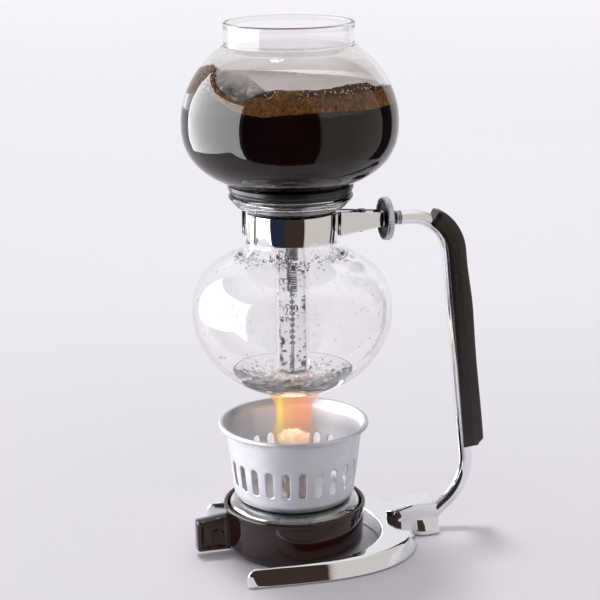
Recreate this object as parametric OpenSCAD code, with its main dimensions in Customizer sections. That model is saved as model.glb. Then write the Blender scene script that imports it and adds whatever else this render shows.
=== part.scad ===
// Three-cup vacuum (siphon) coffee maker: two glass bulbs one above the other,
// a chromed stand with a handle, a hinged neck clamp and a spirit lamp.
// Millimetres. Z is up, the origin is on the table under the bulbs' common axis,
// and +X points from the bulbs towards the handle.

/* [Upper bowl] */
// Largest outer radius of the upper bulb
bowl_r = 55; // [53:0.5:57]
// Height of the upper bulb's widest ring
bowl_z = 229.8; // [229:0.2:231]
// Height of the mouth rim
bowl_rim_z = 280; // [278:0.5:283]
// Outer radius of the mouth neck
bowl_neck_r = 32.7; // [32:0.1:33.2]
// Outer radius of the stem tube
stem_r = 8.7; // [8:0.1:9]
// Height of the stem's open lower end
stem_end_z = 97; // [96:0.5:100]

/* [Lower flask] */
// Largest outer radius of the flask
flask_r = 51.6; // [50:0.2:53]
// Height of the flask's widest ring
flask_z = 131.8; // [131:0.2:133]
// Outer radius of the flask's neck
flask_neck_r = 23; // [22.8:0.1:23.1]
// Wall thickness of both glass bulbs
glass_t = 1.8; // [1.5:0.1:2]

/* [Stand] */
// Height of the horizontal run of the pipe
pipe_top_z = 176.2; // [175.5:0.1:177]
// Outer radius of the pipe
pipe_r = 3.8; // [3.6:0.1:3.9]
// Radius of the round bay that the lamp stands in
bay_r = 46; // [45:0.5:47]
// Height of the base casting's top
base_top = 10; // [9.5:0.1:10.5]
// Half width of the handle grip
grip_half_w = 5.5; // [5.2:0.1:6]

/* [Neck clamp] */
// Distance from the bulbs' axis to the jaws' hinge pin
hinge_x = 37.5; // [37:0.1:38]
// Thickness of the jaw strip
jaw_t = 0.9; // [0.7:0.1:1]
// Number of knurls on the thumb wheel's edge
knurls = 60; // [40:1:72]

/* [Lamp] */
// Outer radius of the lamp cup's wall
cup_r = 37; // [36:0.5:38]
// Height of the lamp cup's rim
cup_h = 26.5; // [26:0.1:27]
// Number of air slots in the wind shield
slots = 24; // [18:1:26]
// Width of an air slot
slot_w = 4; // [3:0.1:5]

/* [Hidden] */
$fn = 96;

// Upper bulb: heights of its two halves and the power of the flatter lower one
bowl_up_h = 48;
bowl_low_h = 34.8;
bowl_low_power = 2.4;
bowl_floor_z = 198;       // inner floor that the filter lies on
bowl_collar_r = 30.6;     // short collar that the gasket's lip grips
stem_bore_r = stem_r - 1.5;

// Flask: heights of its two halves and the power of the upper one
flask_up_h = 33.8;
flask_low_h = 45;
flask_up_power = 2.35;
flask_neck_low_z = 168.5;
flask_neck_top_z = 184.2;
flask_lip = [30.5, 192]; // centre of the lip's round edge
flask_lip_r = 1.4;

// Stand pipe: corners of its centreline in the XZ plane
pipe_start = [58.7, pipe_top_z];
pipe_elbow = [86.5, pipe_top_z];
pipe_foot = [98.2, 26.4];
pipe_end = [74.1, 6.2];
pipe_elbow_r = 22;
pipe_foot_r = 30;
pipe_bore_r = pipe_r - 1;
fit_gap = 0.05;           // radial gap between fixed round parts

// Base casting
metal_z = 0.6;            // the feet hold the casting this far off the table
plate_a = 65;             // reach of the base plate towards the handle
plate_b = 52;             // half width of the base plate
plate_power = 2.4;
leg_tip_x = -38;
block_x = [51, 79.3];     // the pipe socket block, from nose to end
block_half_w = 7;
block_top = 18.7;
set_screw_x = 77.2;

// Neck clamp
jaw_z = [169.7, 184.2];
jaw_mid_r = flask_neck_r + 0.4 + jaw_t / 2;
jaw_end_angle = 151;      // where each jaw ends, measured from the handle side
rod_r = 2.5;
pin_r = 1;
rod_lug_h = 4.2;
lug_t = 0.7;              // thickness of the jaws' hinge lugs
lug_gap = 0.12;
wheel_x = [48.9, 52.3];
wheel_r = 11.3;
core_r = 9.7;

// Lamp
shield_floor_z = 29.3;
sleeve_r = 9;
sleeve_bore_r = 8.1;
wick_r = 8;

glass_colour = [0.85, 0.92, 0.95, 0.35];
brown = [0.22, 0.13, 0.11];

// ---------- shared outlines ----------

// Points on an arc, from angle a0 to a1
function arc_points(c, r, a0, a1, n = 12) =
    [for (i = [0:n]) let (a = a0 + (a1 - a0) * i / n) [c[0] + r * cos(a), c[1] + r * sin(a)]];

// A quarter of a superellipse from its widest ring (i = 0) to radius r_end, up (+1) or down (-1)
function bulb_quarter(a, b, power, z0, r_end, up, n = 24) =
    let (t_end = acos(pow(r_end / a, power / 2)))
    [for (i = [0:n]) let (t = t_end * i / n)
        [a * pow(cos(t), 2 / power), z0 + up * b * pow(sin(t), 2 / power)]];

function reversed(l) = [for (i = [len(l) - 1:-1:0]) l[i]];
function unit(v) = v / norm(v);
function left_of(v) = [-v[1], v[0]];

// Outline of a strip of thickness t along the points p
function strip_outline(p, t) =
    let (n = len(p),
         d = [for (i = [0:n - 1]) unit(p[min(i + 1, n - 1)] - p[max(i - 1, 0)])])
    concat([for (i = [0:n - 1]) p[i] + left_of(d[i]) * t / 2],
           [for (i = [n - 1:-1:0]) p[i] - left_of(d[i]) * t / 2]);

module revolve(points) {
    rotate_extrude() polygon(points);
}

// A shape drawn in the XZ plane, extruded along Y between y0 and y1
module slab(y0, y1) {
    translate([0, y1, 0]) rotate([90, 0, 0]) linear_extrude(height = y1 - y0) children();
}

// ---------- upper bowl, gasket and filter ----------

module upper_bowl() {
    t = glass_t;
    rim_c = [bowl_neck_r - t / 2, bowl_rim_z - t / 2];
    color(glass_colour) revolve(concat(
        // inside, from the rim to the stem's end
        arc_points(rim_c, t / 2, 0, 180),
        [[bowl_neck_r - t, 269.2], [31.3, 267.6]],
        reversed(bulb_quarter(bowl_r - t, bowl_up_h - t, 2, bowl_z, 32.5, 1)),
        bulb_quarter(bowl_r - t, bowl_low_h - t, bowl_low_power, bowl_z, 29, -1),
        [[28.5, bowl_floor_z + 0.5], [27.8, bowl_floor_z], [12.4, bowl_floor_z]],
        [[10.6, 196.8], [8.3, 193.5], [stem_bore_r, 190]],
        arc_points([stem_r - 0.75, stem_end_z + 0.75], 0.75, 180, 360, 6),
        // outside, from the stem's end back to the rim
        [[stem_r, 189], [9.6, 192], [12, 195], [14, 196.2], [29.6, 196.2]],
        [[bowl_collar_r, 197.2], [bowl_collar_r, 200]],
        reversed(bulb_quarter(bowl_r, bowl_low_h, bowl_low_power, bowl_z, 31.5, -1)),
        bulb_quarter(bowl_r, bowl_up_h, 2, bowl_z, 34, 1),
        [[33.2, 268.4], [bowl_neck_r, 269.6]]
    ));
}

module stem_gasket() {
    g = fit_gap;
    color([0.09, 0.09, 0.1]) revolve(concat(
        [[bowl_collar_r + g, 198.2], [31.2, 198.5], [31.9, 198], [31.9, 195.6], [31.2, 194.7]],
        [[29.9, 193.9], [27, 191.6], [24.6, 189.4], [21.6, 186.6], [20.8, 184.4]],
        [[20.8, 181], [20.2, 175.6], [19.4, 174.8], [9.6, 174.8], [stem_r + g, 175.6]],
        [[stem_r + g, 189 - g], [9.6 + g, 192 - g], [12 + g, 195 - g], [14, 196.2 - g]],
        [[29.6 + g, 196.2 - g], [bowl_collar_r + g, 197.2 - g]]
    ));
}

module filter_plate() {
    color("silver") difference() {
        translate([0, 0, 199.2]) cylinder(r = 24, h = 0.8);
        translate([0, 0, 199]) cylinder(r = 1.25, h = 2);
        for (ring = [1:3])
            for (i = [0:6 * ring - 1])
                rotate([0, 0, i * 60 / ring]) translate([6.5 * ring, 0, 199]) cylinder(r = 1, h = 2, $fn = 24);
    }
}

// Cloth bag tied round the plate: a closed loop of cloth in section
module filter_cloth() {
    color("linen") revolve([
        [2, 200.7], [23.8, 200.7], [24.8, 200.1], [24.8, 198.8], [24, 198.1], [6.6, 198.1],
        [6.6, 198.7], [23.6, 198.7], [24.2, 199], [24.2, 199.9], [23.6, 200.1], [2, 200.1]
    ]);
}

module filter_retainer() {
    color("silver") difference() {
        translate([0, 0, 197.9]) cylinder(r = 6.4, h = 1.2);
        translate([0, 0, 197]) cylinder(r = 1.25, h = 3);
    }
}

module filter_screw() {
    color("silver") {
        translate([0, 0, 195.6]) cylinder(r = 1.2, h = 5.3);
        translate([0, 0, 200.8]) cylinder(r1 = 3.2, r2 = 2.4, h = 1.6);
    }
}

// Envelope of the close-wound extension spring under the filter
module filter_spring() {
    color("dimgray") difference() {
        translate([0, 0, 141]) cylinder(r1 = 2.2, r2 = 2.9, h = 54.5);
        translate([0, 0, 140]) cylinder(r1 = 1.3, r2 = 2.05, h = 57);
    }
}

bead_pitch = 3.2;
module bead_chain() {
    color("dimgray") {
        translate([0, 0, 112.6]) cylinder(r = 0.4, h = 28.3, $fn = 24);
        for (i = [0:8]) translate([0, 0, 114 + bead_pitch * i]) sphere(r = 1.15, $fn = 32);
    }
}

// Wire hook that catches under the stem's end
hook_reach = 9.9;
module chain_hook() {
    wire = 0.7;
    low_z = 95.9;
    color("dimgray") {
        translate([0, 0, low_z]) cylinder(r = wire, h = 16.6, $fn = 24);
        translate([0, 0, low_z]) rotate([0, 90, 0]) cylinder(r = wire, h = hook_reach, $fn = 24);
        translate([hook_reach, 0, low_z]) cylinder(r = wire, h = 3.2, $fn = 24);
        for (x = [0, hook_reach]) translate([x, 0, low_z]) sphere(r = wire, $fn = 24);
        translate([hook_reach, 0, low_z + 3.2]) sphere(r = wire, $fn = 24);
    }
}

// ---------- lower flask ----------

module lower_flask() {
    t = glass_t;
    color(glass_colour) revolve(concat(
        // inside, from the bottom to the lip
        reversed(concat(bulb_quarter(flask_r - t, flask_low_h - t, 2, flask_z, 1, -1),
                        [[0, flask_z - flask_low_h + t]])),
        bulb_quarter(flask_r - t, flask_up_h - t, flask_up_power, flask_z, 24.6, 1),
        [[22.6, 163.2], [21.5, 165.6], [flask_neck_r - t, flask_neck_low_z]],
        [[flask_neck_r - t, 183.6], [21.8, 184.8], [28.2, 190.9]],
        arc_points(flask_lip, flask_lip_r, 190, -40),
        // outside, down the stepped flare, the neck and the bulb
        [[30.4, 189.9], [29.2, 189.1], [29, 188.3], [27.5, 187.5], [27.2, 186.6], [25, 185.4]],
        [[23.6, 184.7], [flask_neck_r, flask_neck_top_z]],
        [[flask_neck_r, flask_neck_low_z], [23.4, 166.6], [24.5, 164.4]],
        reversed(bulb_quarter(flask_r, flask_up_h, flask_up_power, flask_z, 26.2, 1)),
        bulb_quarter(flask_r, flask_low_h, 2, flask_z, 1, -1),
        [[0, flask_z - flask_low_h]]
    ));
}

// ---------- base, pipe and handle ----------

// Half outline of the base plate beyond the bay, from the leg to the handle side
function plate_edge(inset, n = 20) =
    [for (i = [0:n]) let (t = 90 * i / n)
        [(plate_a - inset) * pow(sin(t), 2 / plate_power), (plate_b - inset) * pow(cos(t), 2 / plate_power)]];

// The wishbone seen from above: two legs that run on from the round bay
module wishbone(inset) {
    tip = leg_tip_x + inset;
    half = concat([[tip, bay_r + inset], [tip + 1.5 - inset / 2, 50.6 - inset]], plate_edge(inset));
    difference() {
        polygon(concat(half, [for (p = reversed(half)) [p[0], -p[1]]]));
        circle(r = bay_r + inset);
        translate([-100, -bay_r - inset]) square([100, 2 * (bay_r + inset)]);
    }
}

foot_places = [[-34, 48.4, 1.8], [-34, -48.4, 1.8], [57, 0, 4]];

// Straight hole or rod along the pipe's last stretch
module along_pipe_end(r, from, to) {
    d = unit(pipe_end - pipe_foot);
    p = pipe_end - d * to;
    translate([p[0], 0, p[1]]) rotate([0, atan2(d[0], d[1]), 0]) cylinder(r = r, h = to - from);
}

module base_casting() {
    color("gainsboro") difference() {
        union() {
            translate([0, 0, metal_z]) linear_extrude(height = 7.6) wishbone(0);
            translate([0, 0, metal_z]) linear_extrude(height = base_top - metal_z) wishbone(1.1);
            translate([0, 0, metal_z]) linear_extrude(height = block_top - metal_z) {
                translate([block_x[0] + block_half_w, 0]) circle(r = block_half_w);
                translate([block_x[0] + block_half_w, -block_half_w])
                    square([block_x[1] - block_x[0] - block_half_w, 2 * block_half_w]);
            }
        }
        // channels between the plate and the socket block
        for (side = [-1, 1]) translate([0, 0, 3]) linear_extrude(height = 9)
            polygon([[58, side * block_half_w], [61, side * 9.5], [70, side * 13], [70, side * block_half_w]]);
        // sloping nose and sloping end of the socket block
        slab(-10, 10) polygon([[48, 14.6], [54, 17.6], [60, 19], [48, 19]]);
        slab(-10, 10) polygon([[76.6, 19], [79.3, 12.6], [82, 12.6], [82, 19]]);
        // pipe socket
        along_pipe_end(pipe_r + fit_gap, 0, 14);
        translate([set_screw_x, 0, 0]) cylinder(r = 2 + fit_gap, h = 4, $fn = 48);
        for (f = foot_places) translate([f[0], f[1], 0]) cylinder(r = f[2] + fit_gap, h = 1.6, $fn = 48);
    }
}

module base_feet() {
    color([0.12, 0.12, 0.12])
        for (f = foot_places) translate([f[0], f[1], 0]) cylinder(r = f[2], h = 1.55, $fn = 48);
}

// Where a rounded corner's arc starts and ends, and its centre
function corner_cut(a, b, c, r) = let (u = unit(a - b), v = unit(c - b)) r / tan(acos(u * v) / 2);
function corner_centre(a, b, c, r) =
    let (u = unit(a - b), v = unit(c - b)) b + unit(u + v) * r / sin(acos(u * v) / 2);

// Straight length of pipe or rod in the XZ plane (bore = 0 gives a solid rod)
module straight_run(a, b, r, bore) {
    d = b - a;
    translate([a[0], 0, a[1]]) rotate([0, atan2(d[0], d[1]), 0]) linear_extrude(height = norm(d))
        ring(r, bore);
}

// Pipe or rod bent in the XZ plane through corner b
module bent_run(a, b, c, bend_r, r, bore) {
    m = corner_centre(a, b, c, bend_r);
    p = b + unit(a - b) * corner_cut(a, b, c, bend_r);
    q = b + unit(c - b) * corner_cut(a, b, c, bend_r);
    a0 = atan2(p[1] - m[1], p[0] - m[0]);
    a1 = atan2(q[1] - m[1], q[0] - m[0]);
    translate([m[0], 0, m[1]]) rotate([90, 0, 0]) rotate([0, 0, a1])
        rotate_extrude(angle = a0 - a1) translate([bend_r, 0]) ring(r, bore);
}

module ring(r, bore) {
    if (bore > 0) difference() {
        circle(r = r, $fn = 48);
        circle(r = bore, $fn = 48);
    }
    else circle(r = r, $fn = 48);
}

module pipe_run(r, bore) {
    elbow_cut = corner_cut(pipe_start, pipe_elbow, pipe_foot, pipe_elbow_r);
    foot_cut = corner_cut(pipe_elbow, pipe_foot, pipe_end, pipe_foot_r);
    down = unit(pipe_foot - pipe_elbow);
    straight_run(pipe_start, pipe_elbow - [elbow_cut, 0], r, bore);
    bent_run(pipe_start, pipe_elbow, pipe_foot, pipe_elbow_r, r, bore);
    straight_run(pipe_elbow + down * elbow_cut, pipe_foot - down * foot_cut, r, bore);
    bent_run(pipe_elbow, pipe_foot, pipe_end, pipe_foot_r, r, bore);
    straight_run(pipe_foot + unit(pipe_end - pipe_foot) * foot_cut, pipe_end, r, bore);
}

module stand_pipe() {
    color("gainsboro") pipe_run(pipe_r, pipe_bore_r);
}

module pipe_grub_screw() {
    color("silver") translate([set_screw_x, 0, 1]) difference() {
        cylinder(r = 2, h = 2.1, $fn = 48);
        translate([0, 0, -0.1]) cylinder(r = 1.15, h = 1.4, $fn = 6);
    }
}

// Grip: a channel that snaps over the outside of the pipe, grooved along both sides
grip_outer = [[75, 179.4], [80.5, 179.2]];
grip_low = [[106.3, 53], [106.1, 50.2], [104, 48], [96.4, 48.3]];
module grip_side() {
    down = unit(pipe_foot - pipe_elbow);
    inner = left_of(down) * -1.5;
    p = pipe_elbow + down * 30 + inner;
    q = pipe_elbow + down * 128 + inner;
    polygon(concat(grip_outer, arc_points([80.4, 163.2], 16, 82, 8, 10), [[99, 131.1]], grip_low, [q, p],
        arc_points(corner_centre(pipe_start, pipe_elbow, pipe_foot, pipe_elbow_r), pipe_elbow_r - 1.5, -4, 68, 10)));
}
module grip_groove_line(d) {
    down = unit(pipe_foot - pipe_elbow);
    out = left_of(down) * d;
    a = pipe_elbow + down * 26 + out;
    b = pipe_elbow + down * 124 + out;
    polygon(strip_outline([a, b], 0.7));
}
module handle_grip() {
    color(brown) difference() {
        slab(-grip_half_w, grip_half_w) grip_side();
        pipe_run(pipe_r + fit_gap, 0);
        for (side = [-1, 1], d = [1.6, 3.4])
            translate([0, side * grip_half_w, 0]) slab(-0.35, 0.35) grip_groove_line(d);
    }
}

// ---------- neck clamp ----------

// Everything of the clamp that is round about the pipe's axis
module on_pipe_axis(x) {
    translate([x, 0, pipe_top_z]) rotate([0, 90, 0]) children();
}

module clamp_rod() {
    color("silver") difference() {
        union() {
            on_pipe_axis(44) cylinder(r = rod_r, h = 20.4);
            on_pipe_axis(58.8) cylinder(r = pipe_bore_r - fit_gap, h = 6);
            translate([35.8, -1.8, pipe_top_z - rod_lug_h / 2]) cube([8.6, 3.6, rod_lug_h]);
        }
        translate([hinge_x, 0, pipe_top_z - 5]) cylinder(r = pin_r + 0.03, h = 10, $fn = 48);
    }
}

module pipe_end_collar() {
    color("silver") on_pipe_axis(55.9) difference() {
        cylinder(r = 3.2, h = 2.75);
        translate([0, 0, -1]) cylinder(r = rod_r + fit_gap, h = 6);
    }
}

module clamp_hinge_pin() {
    color("dimgray") translate([hinge_x, 0, 0]) difference() {
        union() {
            translate([0, 0, 170.1]) cylinder(r = pin_r, h = 11, $fn = 48);
            translate([0, 0, 180.8]) cylinder(r = 2.5, h = 1.5, $fn = 48);
        }
        translate([-0.5, -3, 181.7]) cube([1, 6, 1]);
    }
}

// Middle line of the back jaw's strip: short outward lip, arc round the neck, waist at the hinge, tab
jaw_line = concat(
    [[-22.7, 11.6], [-21.8, 11.4]],
    arc_points([0, 0], jaw_mid_r, jaw_end_angle, 22, 36),
    [[23.4, 6.5], [25.3, 4.8], [28.5, 3.5], [33, 2.75], [hinge_x, 2.55], [40.5, 2.9], [48, 5.05]]
);

module jaw_strip() {
    intersection() {
        translate([0, 0, jaw_z[0]]) linear_extrude(height = jaw_z[1] - jaw_z[0])
            polygon(strip_outline(jaw_line, jaw_t));
        slab(-40, 40) polygon([[-40, jaw_z[0]], [20, jaw_z[0]], [30, 170.6], [50, 173.2],
            [50, 180.3], [31, 180.6], [27, 181.4], [21, jaw_z[1]], [-40, jaw_z[1]]]);
    }
}

// A lug that reaches from the strip round the hinge pin
module jaw_lug(z) {
    translate([0, 0, z]) {
        translate([hinge_x, 0, 0]) cylinder(r = 1.75, h = lug_t, $fn = 48);
        translate([hinge_x - 1.75, 0, 0]) cube([3.5, 2.5, lug_t]);
    }
}

// A jaw with two lugs, one above and one below the rod's eye, the given height away from it
module jaw(lug_away) {
    color("lightgray") difference() {
        union() {
            jaw_strip();
            jaw_lug(pipe_top_z + rod_lug_h / 2 + lug_away);
            jaw_lug(pipe_top_z - rod_lug_h / 2 - lug_away - lug_t);
        }
        translate([hinge_x, 0, 165]) cylinder(r = pin_r + 0.06, h = 20, $fn = 48);
    }
}

module clamp_jaw_back() {
    jaw(lug_gap);
}

module clamp_jaw_front() {
    mirror([0, 1, 0]) jaw(2 * lug_gap + lug_t);
}

// Cone that spreads the jaws' tabs, and so closes the jaws on the neck
module clamp_cone() {
    color("silver") on_pipe_axis(44.5) difference() {
        cylinder(r1 = 2.9, r2 = 4.6, h = 4.7);
        translate([0, 0, -1]) cylinder(r = rod_r + 0.06, h = 7);
    }
}

// Knurled rim: a toothed ring
module thumb_wheel_rim() {
    teeth = [for (i = [0:2 * knurls - 1]) let (a = i * 180 / knurls, r = wheel_r - (i % 2) * 0.35)
        [r * cos(a), r * sin(a)]];
    color("gainsboro") on_pipe_axis(wheel_x[0]) difference() {
        linear_extrude(height = wheel_x[1] - wheel_x[0]) polygon(teeth);
        translate([0, 0, -1]) cylinder(r = core_r + fit_gap, h = 6);
    }
}

// Black core with a dished face, threaded on the rod
module thumb_wheel_core() {
    color([0.1, 0.1, 0.11]) on_pipe_axis(0) revolve([
        [rod_r + fit_gap, 49.8], [5.4, 49.8], [core_r - 0.8, 49.3], [core_r, 49.3],
        [core_r, 52.1], [4.4, 52.4], [rod_r + fit_gap, 52.4]
    ]);
}

// ---------- lamp ----------

// Thumb tab: deeper where it joins the cup
tab_end_x = -54;
module lamp_tab() {
    difference() {
        slab(-4, 4) polygon([[-36, 3.2], [tab_end_x + 1.5, 3.2], [tab_end_x, 4.7], [tab_end_x, 19],
            [tab_end_x + 1.4, 20.4], [-36, 23.4]]);
        for (side = [-1, 1])
            translate([0, side * 4, 0]) slab(-1.1, 1.1)
                polygon([[-38, 1], [-51.4, 1], [-51.4, 17.6], [-38, 19.8]]);
    }
    // arched thumb pad inside each recess
    for (side = [-1, 1])
        translate([0, side * 3.15, 0]) slab(-0.5, 0.5) {
            translate([-44.8, 11.5]) circle(r = 3.4, $fn = 48);
            translate([-48.2, 3.2]) square([6.8, 8.3]);
        }
}

module lamp_cup() {
    color(brown) {
        difference() {
            union() {
                revolve(concat([[0, 0], [31.5, 0]],
                    arc_points([31.5, 5], 5, -90, -4, 8),
                    [[cup_r, 23], [cup_r + 0.7, 23.6], [cup_r + 0.8, 25.6], [cup_r + 0.3, cup_h]],
                    [[35.9, cup_h], [35.5, 26], [0, 26]]));
                lamp_tab();
            }
            revolve(concat([[0, 2.2], [30.6, 2.2]], arc_points([30.6, 7.1], 4.9, -90, 0, 8),
                [[35.5, 27], [0, 27]]));
        }
    }
}

// Squat glass bottle: flat bottom, round shoulder, short neck
module lamp_reservoir() {
    color(glass_colour) revolve(concat(
        [[0, 2.3], [30.2, 2.3]], arc_points([30.2, 7.3], 5, -90, 0, 8),
        arc_points([30, 24], 5.2, 0, 90, 10),
        [[25, 28.9], [20, 27.2], [16.5, 25.3], [12.9, 24.9], [12.6, 25.4], [12.6, 27.3], [10.8, 27.3]],
        [[10.8, 23.4], [15.6, 23.2], [20.4, 25.2], [25.3, 26.9], [30, 27]],
        arc_points([30, 23.8], 3.2, 90, 0, 8), arc_points([30, 7.3], 3.2, 0, -90, 8), [[0, 4.1]]
    ));
}

module neck_seal() {
    color([0.75, 0.3, 0.2]) translate([0, 0, 27.3]) difference() {
        cylinder(r = 12.6, h = 0.75);
        translate([0, 0, -1]) cylinder(r = 10.9, h = 3);
    }
}

// Cap and sleeve that hold the wick
module wick_holder() {
    color("silver") revolve([
        [sleeve_bore_r, 21], [sleeve_r, 21], [sleeve_r, 28.1], [12.7, 28.1], [12.7, 25.5], [14.4, 25.3],
        [14.4, 28.6], [13.8, 29.2], [sleeve_r, 29.2], [sleeve_r, 55.6], [8.6, 56], [sleeve_bore_r, 56]
    ]);
}

module wick() {
    color("ivory") revolve(concat([[0, 6], [wick_r, 6], [wick_r, 56.3], [8.7, 56.9]],
        arc_points([0, 58], 8.8, 3, 90, 8)));
}

module wind_shield() {
    color("silver") difference() {
        revolve(concat(
            [[9.7, shield_floor_z], [22, shield_floor_z]],
            arc_points([22.4, 39.3], 10, -88, -14, 8),
            [[33.2, 44], [35, 60], [35.9, 66.6], [36.7, 68.9]],
            arc_points([38.4, 70], 1.2, -150, 180, 14),
            [[36, 69.2], [34.9, 66.7], [34, 60], [32.2, 44]],
            arc_points([22.4, 39.3], 9, -14, -88, 8),
            [[22, shield_floor_z + 1], [9.7, shield_floor_z + 1]]
        ));
        for (i = [0:slots - 1]) rotate([0, 0, (i + 0.5) * 360 / slots]) {
            translate([28, -slot_w / 2, 40.5]) cube([10, slot_w, 10.5]);
            for (z = [40.5, 51]) translate([28, 0, z]) rotate([0, 90, 0]) cylinder(r = slot_w / 2, h = 10, $fn = 32);
        }
    }
}

upper_bowl();
stem_gasket();
filter_plate();
filter_cloth();
filter_retainer();
filter_screw();
filter_spring();
bead_chain();
chain_hook();
lower_flask();
base_casting();
base_feet();
stand_pipe();
pipe_grub_screw();
handle_grip();
clamp_rod();
pipe_end_collar();
clamp_hinge_pin();
clamp_jaw_front();
clamp_jaw_back();
clamp_cone();
thumb_wheel_rim();
thumb_wheel_core();
lamp_cup();
lamp_reservoir();
neck_seal();
wick_holder();
wick();
wind_shield();
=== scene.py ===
"""Looks of the siphon coffee maker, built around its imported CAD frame.

Outlines are in millimetres in the row frame (Z up, the bulbs' axis at X = Y = 0, the handle at +X);
the mesh builders turn them into metres.
"""

import math
import random

import bmesh
import bpy
import numpy as np
from mathutils import Matrix, Vector, noise


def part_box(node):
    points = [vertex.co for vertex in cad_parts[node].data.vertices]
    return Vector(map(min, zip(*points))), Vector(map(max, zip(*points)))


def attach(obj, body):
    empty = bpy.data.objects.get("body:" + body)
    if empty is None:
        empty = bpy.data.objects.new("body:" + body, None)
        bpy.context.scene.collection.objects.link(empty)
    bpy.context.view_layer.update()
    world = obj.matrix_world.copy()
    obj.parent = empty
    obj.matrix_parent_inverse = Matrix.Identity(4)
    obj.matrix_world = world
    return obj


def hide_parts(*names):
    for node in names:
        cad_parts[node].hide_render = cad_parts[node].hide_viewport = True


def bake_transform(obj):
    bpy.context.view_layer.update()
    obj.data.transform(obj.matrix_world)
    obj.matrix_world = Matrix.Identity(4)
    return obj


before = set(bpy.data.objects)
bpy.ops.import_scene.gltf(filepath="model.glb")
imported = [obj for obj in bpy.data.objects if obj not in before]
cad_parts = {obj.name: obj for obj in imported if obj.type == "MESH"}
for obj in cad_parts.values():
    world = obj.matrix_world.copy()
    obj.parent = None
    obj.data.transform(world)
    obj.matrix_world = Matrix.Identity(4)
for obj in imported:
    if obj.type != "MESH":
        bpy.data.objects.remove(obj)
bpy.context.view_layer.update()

MM = 0.001
TURN = 2 * math.pi


def extent(node):
    """Lowest and highest corner of a CAD node in millimetres."""
    low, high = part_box(node)
    return low / MM, high / MM


# ---------------------------------------------------------------- outlines


def arc(centre, radius, start, end, steps=10):
    """Points on an arc; the angles are in degrees."""
    angles = np.radians(np.linspace(start, end, steps + 1))
    return [(centre[0] + radius * math.cos(a), centre[1] + radius * math.sin(a)) for a in angles]


def bulb(radius, height, power, middle, end_radius, up, steps=40):
    """Superellipse from the widest ring (height `middle`) to end_radius, upwards (1) or downwards (-1)."""
    last = math.acos((end_radius / radius) ** (power / 2))
    points = []
    for t in np.linspace(0, last, steps + 1):
        points.append((radius * math.cos(t) ** (2 / power), middle + up * height * math.sin(t) ** (2 / power)))
    return points


def wall_spot(r, z, angle):
    """Point at a radius and a height, at an angle about Z."""
    return r * math.cos(angle), r * math.sin(angle), z


def has_radius(corners, i, closed):
    """True if the corner, counted round a closed outline, is rounded too."""
    if not closed and not 0 < i < len(corners) - 1:
        return False
    return len(corners[i % len(corners)]) > 2


def rounded(corners, steps=5, closed=True):
    """Outline through the corners; a corner given as (x, y, radius) becomes an arc of that radius."""
    count = len(corners)
    points = []
    for i, corner in enumerate(corners):
        here = np.array(corner[:2], float)
        inner = closed or 0 < i < count - 1
        if len(corner) < 3 or corner[2] <= 0 or not inner:
            points.append(tuple(here))
            continue
        before = np.array(corners[i - 1][:2], float) - here
        after = np.array(corners[(i + 1) % count][:2], float) - here
        length_before, length_after = np.linalg.norm(before), np.linalg.norm(after)
        before, after = before / length_before, after / length_after
        if np.linalg.norm(before + after) < 1e-6:
            points += [tuple(here + before * (0.1 - 0.2 * k / steps)) for k in range(steps + 1)]
            continue
        half = math.acos(np.clip(before @ after, -1, 1)) / 2
        room_before = 0.48 if has_radius(corners, i - 1, closed) else 0.98
        room_after = 0.48 if has_radius(corners, i + 1, closed) else 0.98
        cut = min(corner[2] / math.tan(half), room_before * length_before, room_after * length_after)
        radius = cut * math.tan(half)
        middle = here + (before + after) / np.linalg.norm(before + after) * radius / math.sin(half)
        a = math.atan2(*(here + before * cut - middle)[::-1])
        b = math.atan2(*(here + after * cut - middle)[::-1])
        sweep = (b - a + math.pi) % TURN - math.pi
        for k in range(steps + 1):
            angle = a + sweep * k / steps
            points.append((middle[0] + radius * math.cos(angle), middle[1] + radius * math.sin(angle)))
    return points


def smoothstep(low, high, value):
    t = min(max((value - low) / (high - low), 0.0), 1.0)
    return t * t * (3 - 2 * t)


def fractal(point, scale, octaves=3, seed=0.0):
    """Smooth noise of about -1 to 1 at a point in millimetres; scale is the size of its features."""
    place = Vector(point) / scale + Vector((seed, -seed, seed * 0.5))
    return noise.fractal(place, 0.9, 2.1, octaves, noise_basis="PERLIN_ORIGINAL")


# ---------------------------------------------------------------- meshes


def make_object(name, points, faces, sharp_deg=40):
    """Smooth-shaded mesh object from points in millimetres, with its normals outwards."""
    mesh = bpy.data.meshes.new(name)
    mesh.from_pydata([Vector(p) * MM for p in points], [], faces)
    mesh.validate()
    mesh.polygons.foreach_set("use_smooth", [True] * len(mesh.polygons))
    mesh.set_sharp_from_angle(angle=math.radians(sharp_deg))
    mesh.update()
    piece = bpy.data.objects.new(name, mesh)
    bpy.context.scene.collection.objects.link(piece)
    return piece


def loft(name, rings, ring_closed=True, path_closed=False, caps=True, sharp_deg=40):
    """Skin over a row of rings, each with the same number of points."""
    rings = [[tuple(p) for p in ring] for ring in rings]
    n, m = len(rings[0]), len(rings)
    points = [p for ring in rings for p in ring]
    faces = []
    for i in range(m if path_closed else m - 1):
        j = (i + 1) % m
        for k in range(n if ring_closed else n - 1):
            l = (k + 1) % n
            faces.append((i * n + k, i * n + l, j * n + l, j * n + k))
    if caps and not path_closed:
        for ring, flip in ((0, True), (m - 1, False)):
            centre = len(points)
            points.append(tuple(np.mean(rings[ring], axis=0)))
            for k in range(n):
                l = (k + 1) % n
                pair = (ring * n + k, ring * n + l)
                faces.append((centre, *(pair if not flip else pair[::-1])))
    piece = make_object(name, points, faces, sharp_deg)
    turn_outwards(piece)
    return piece


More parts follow.
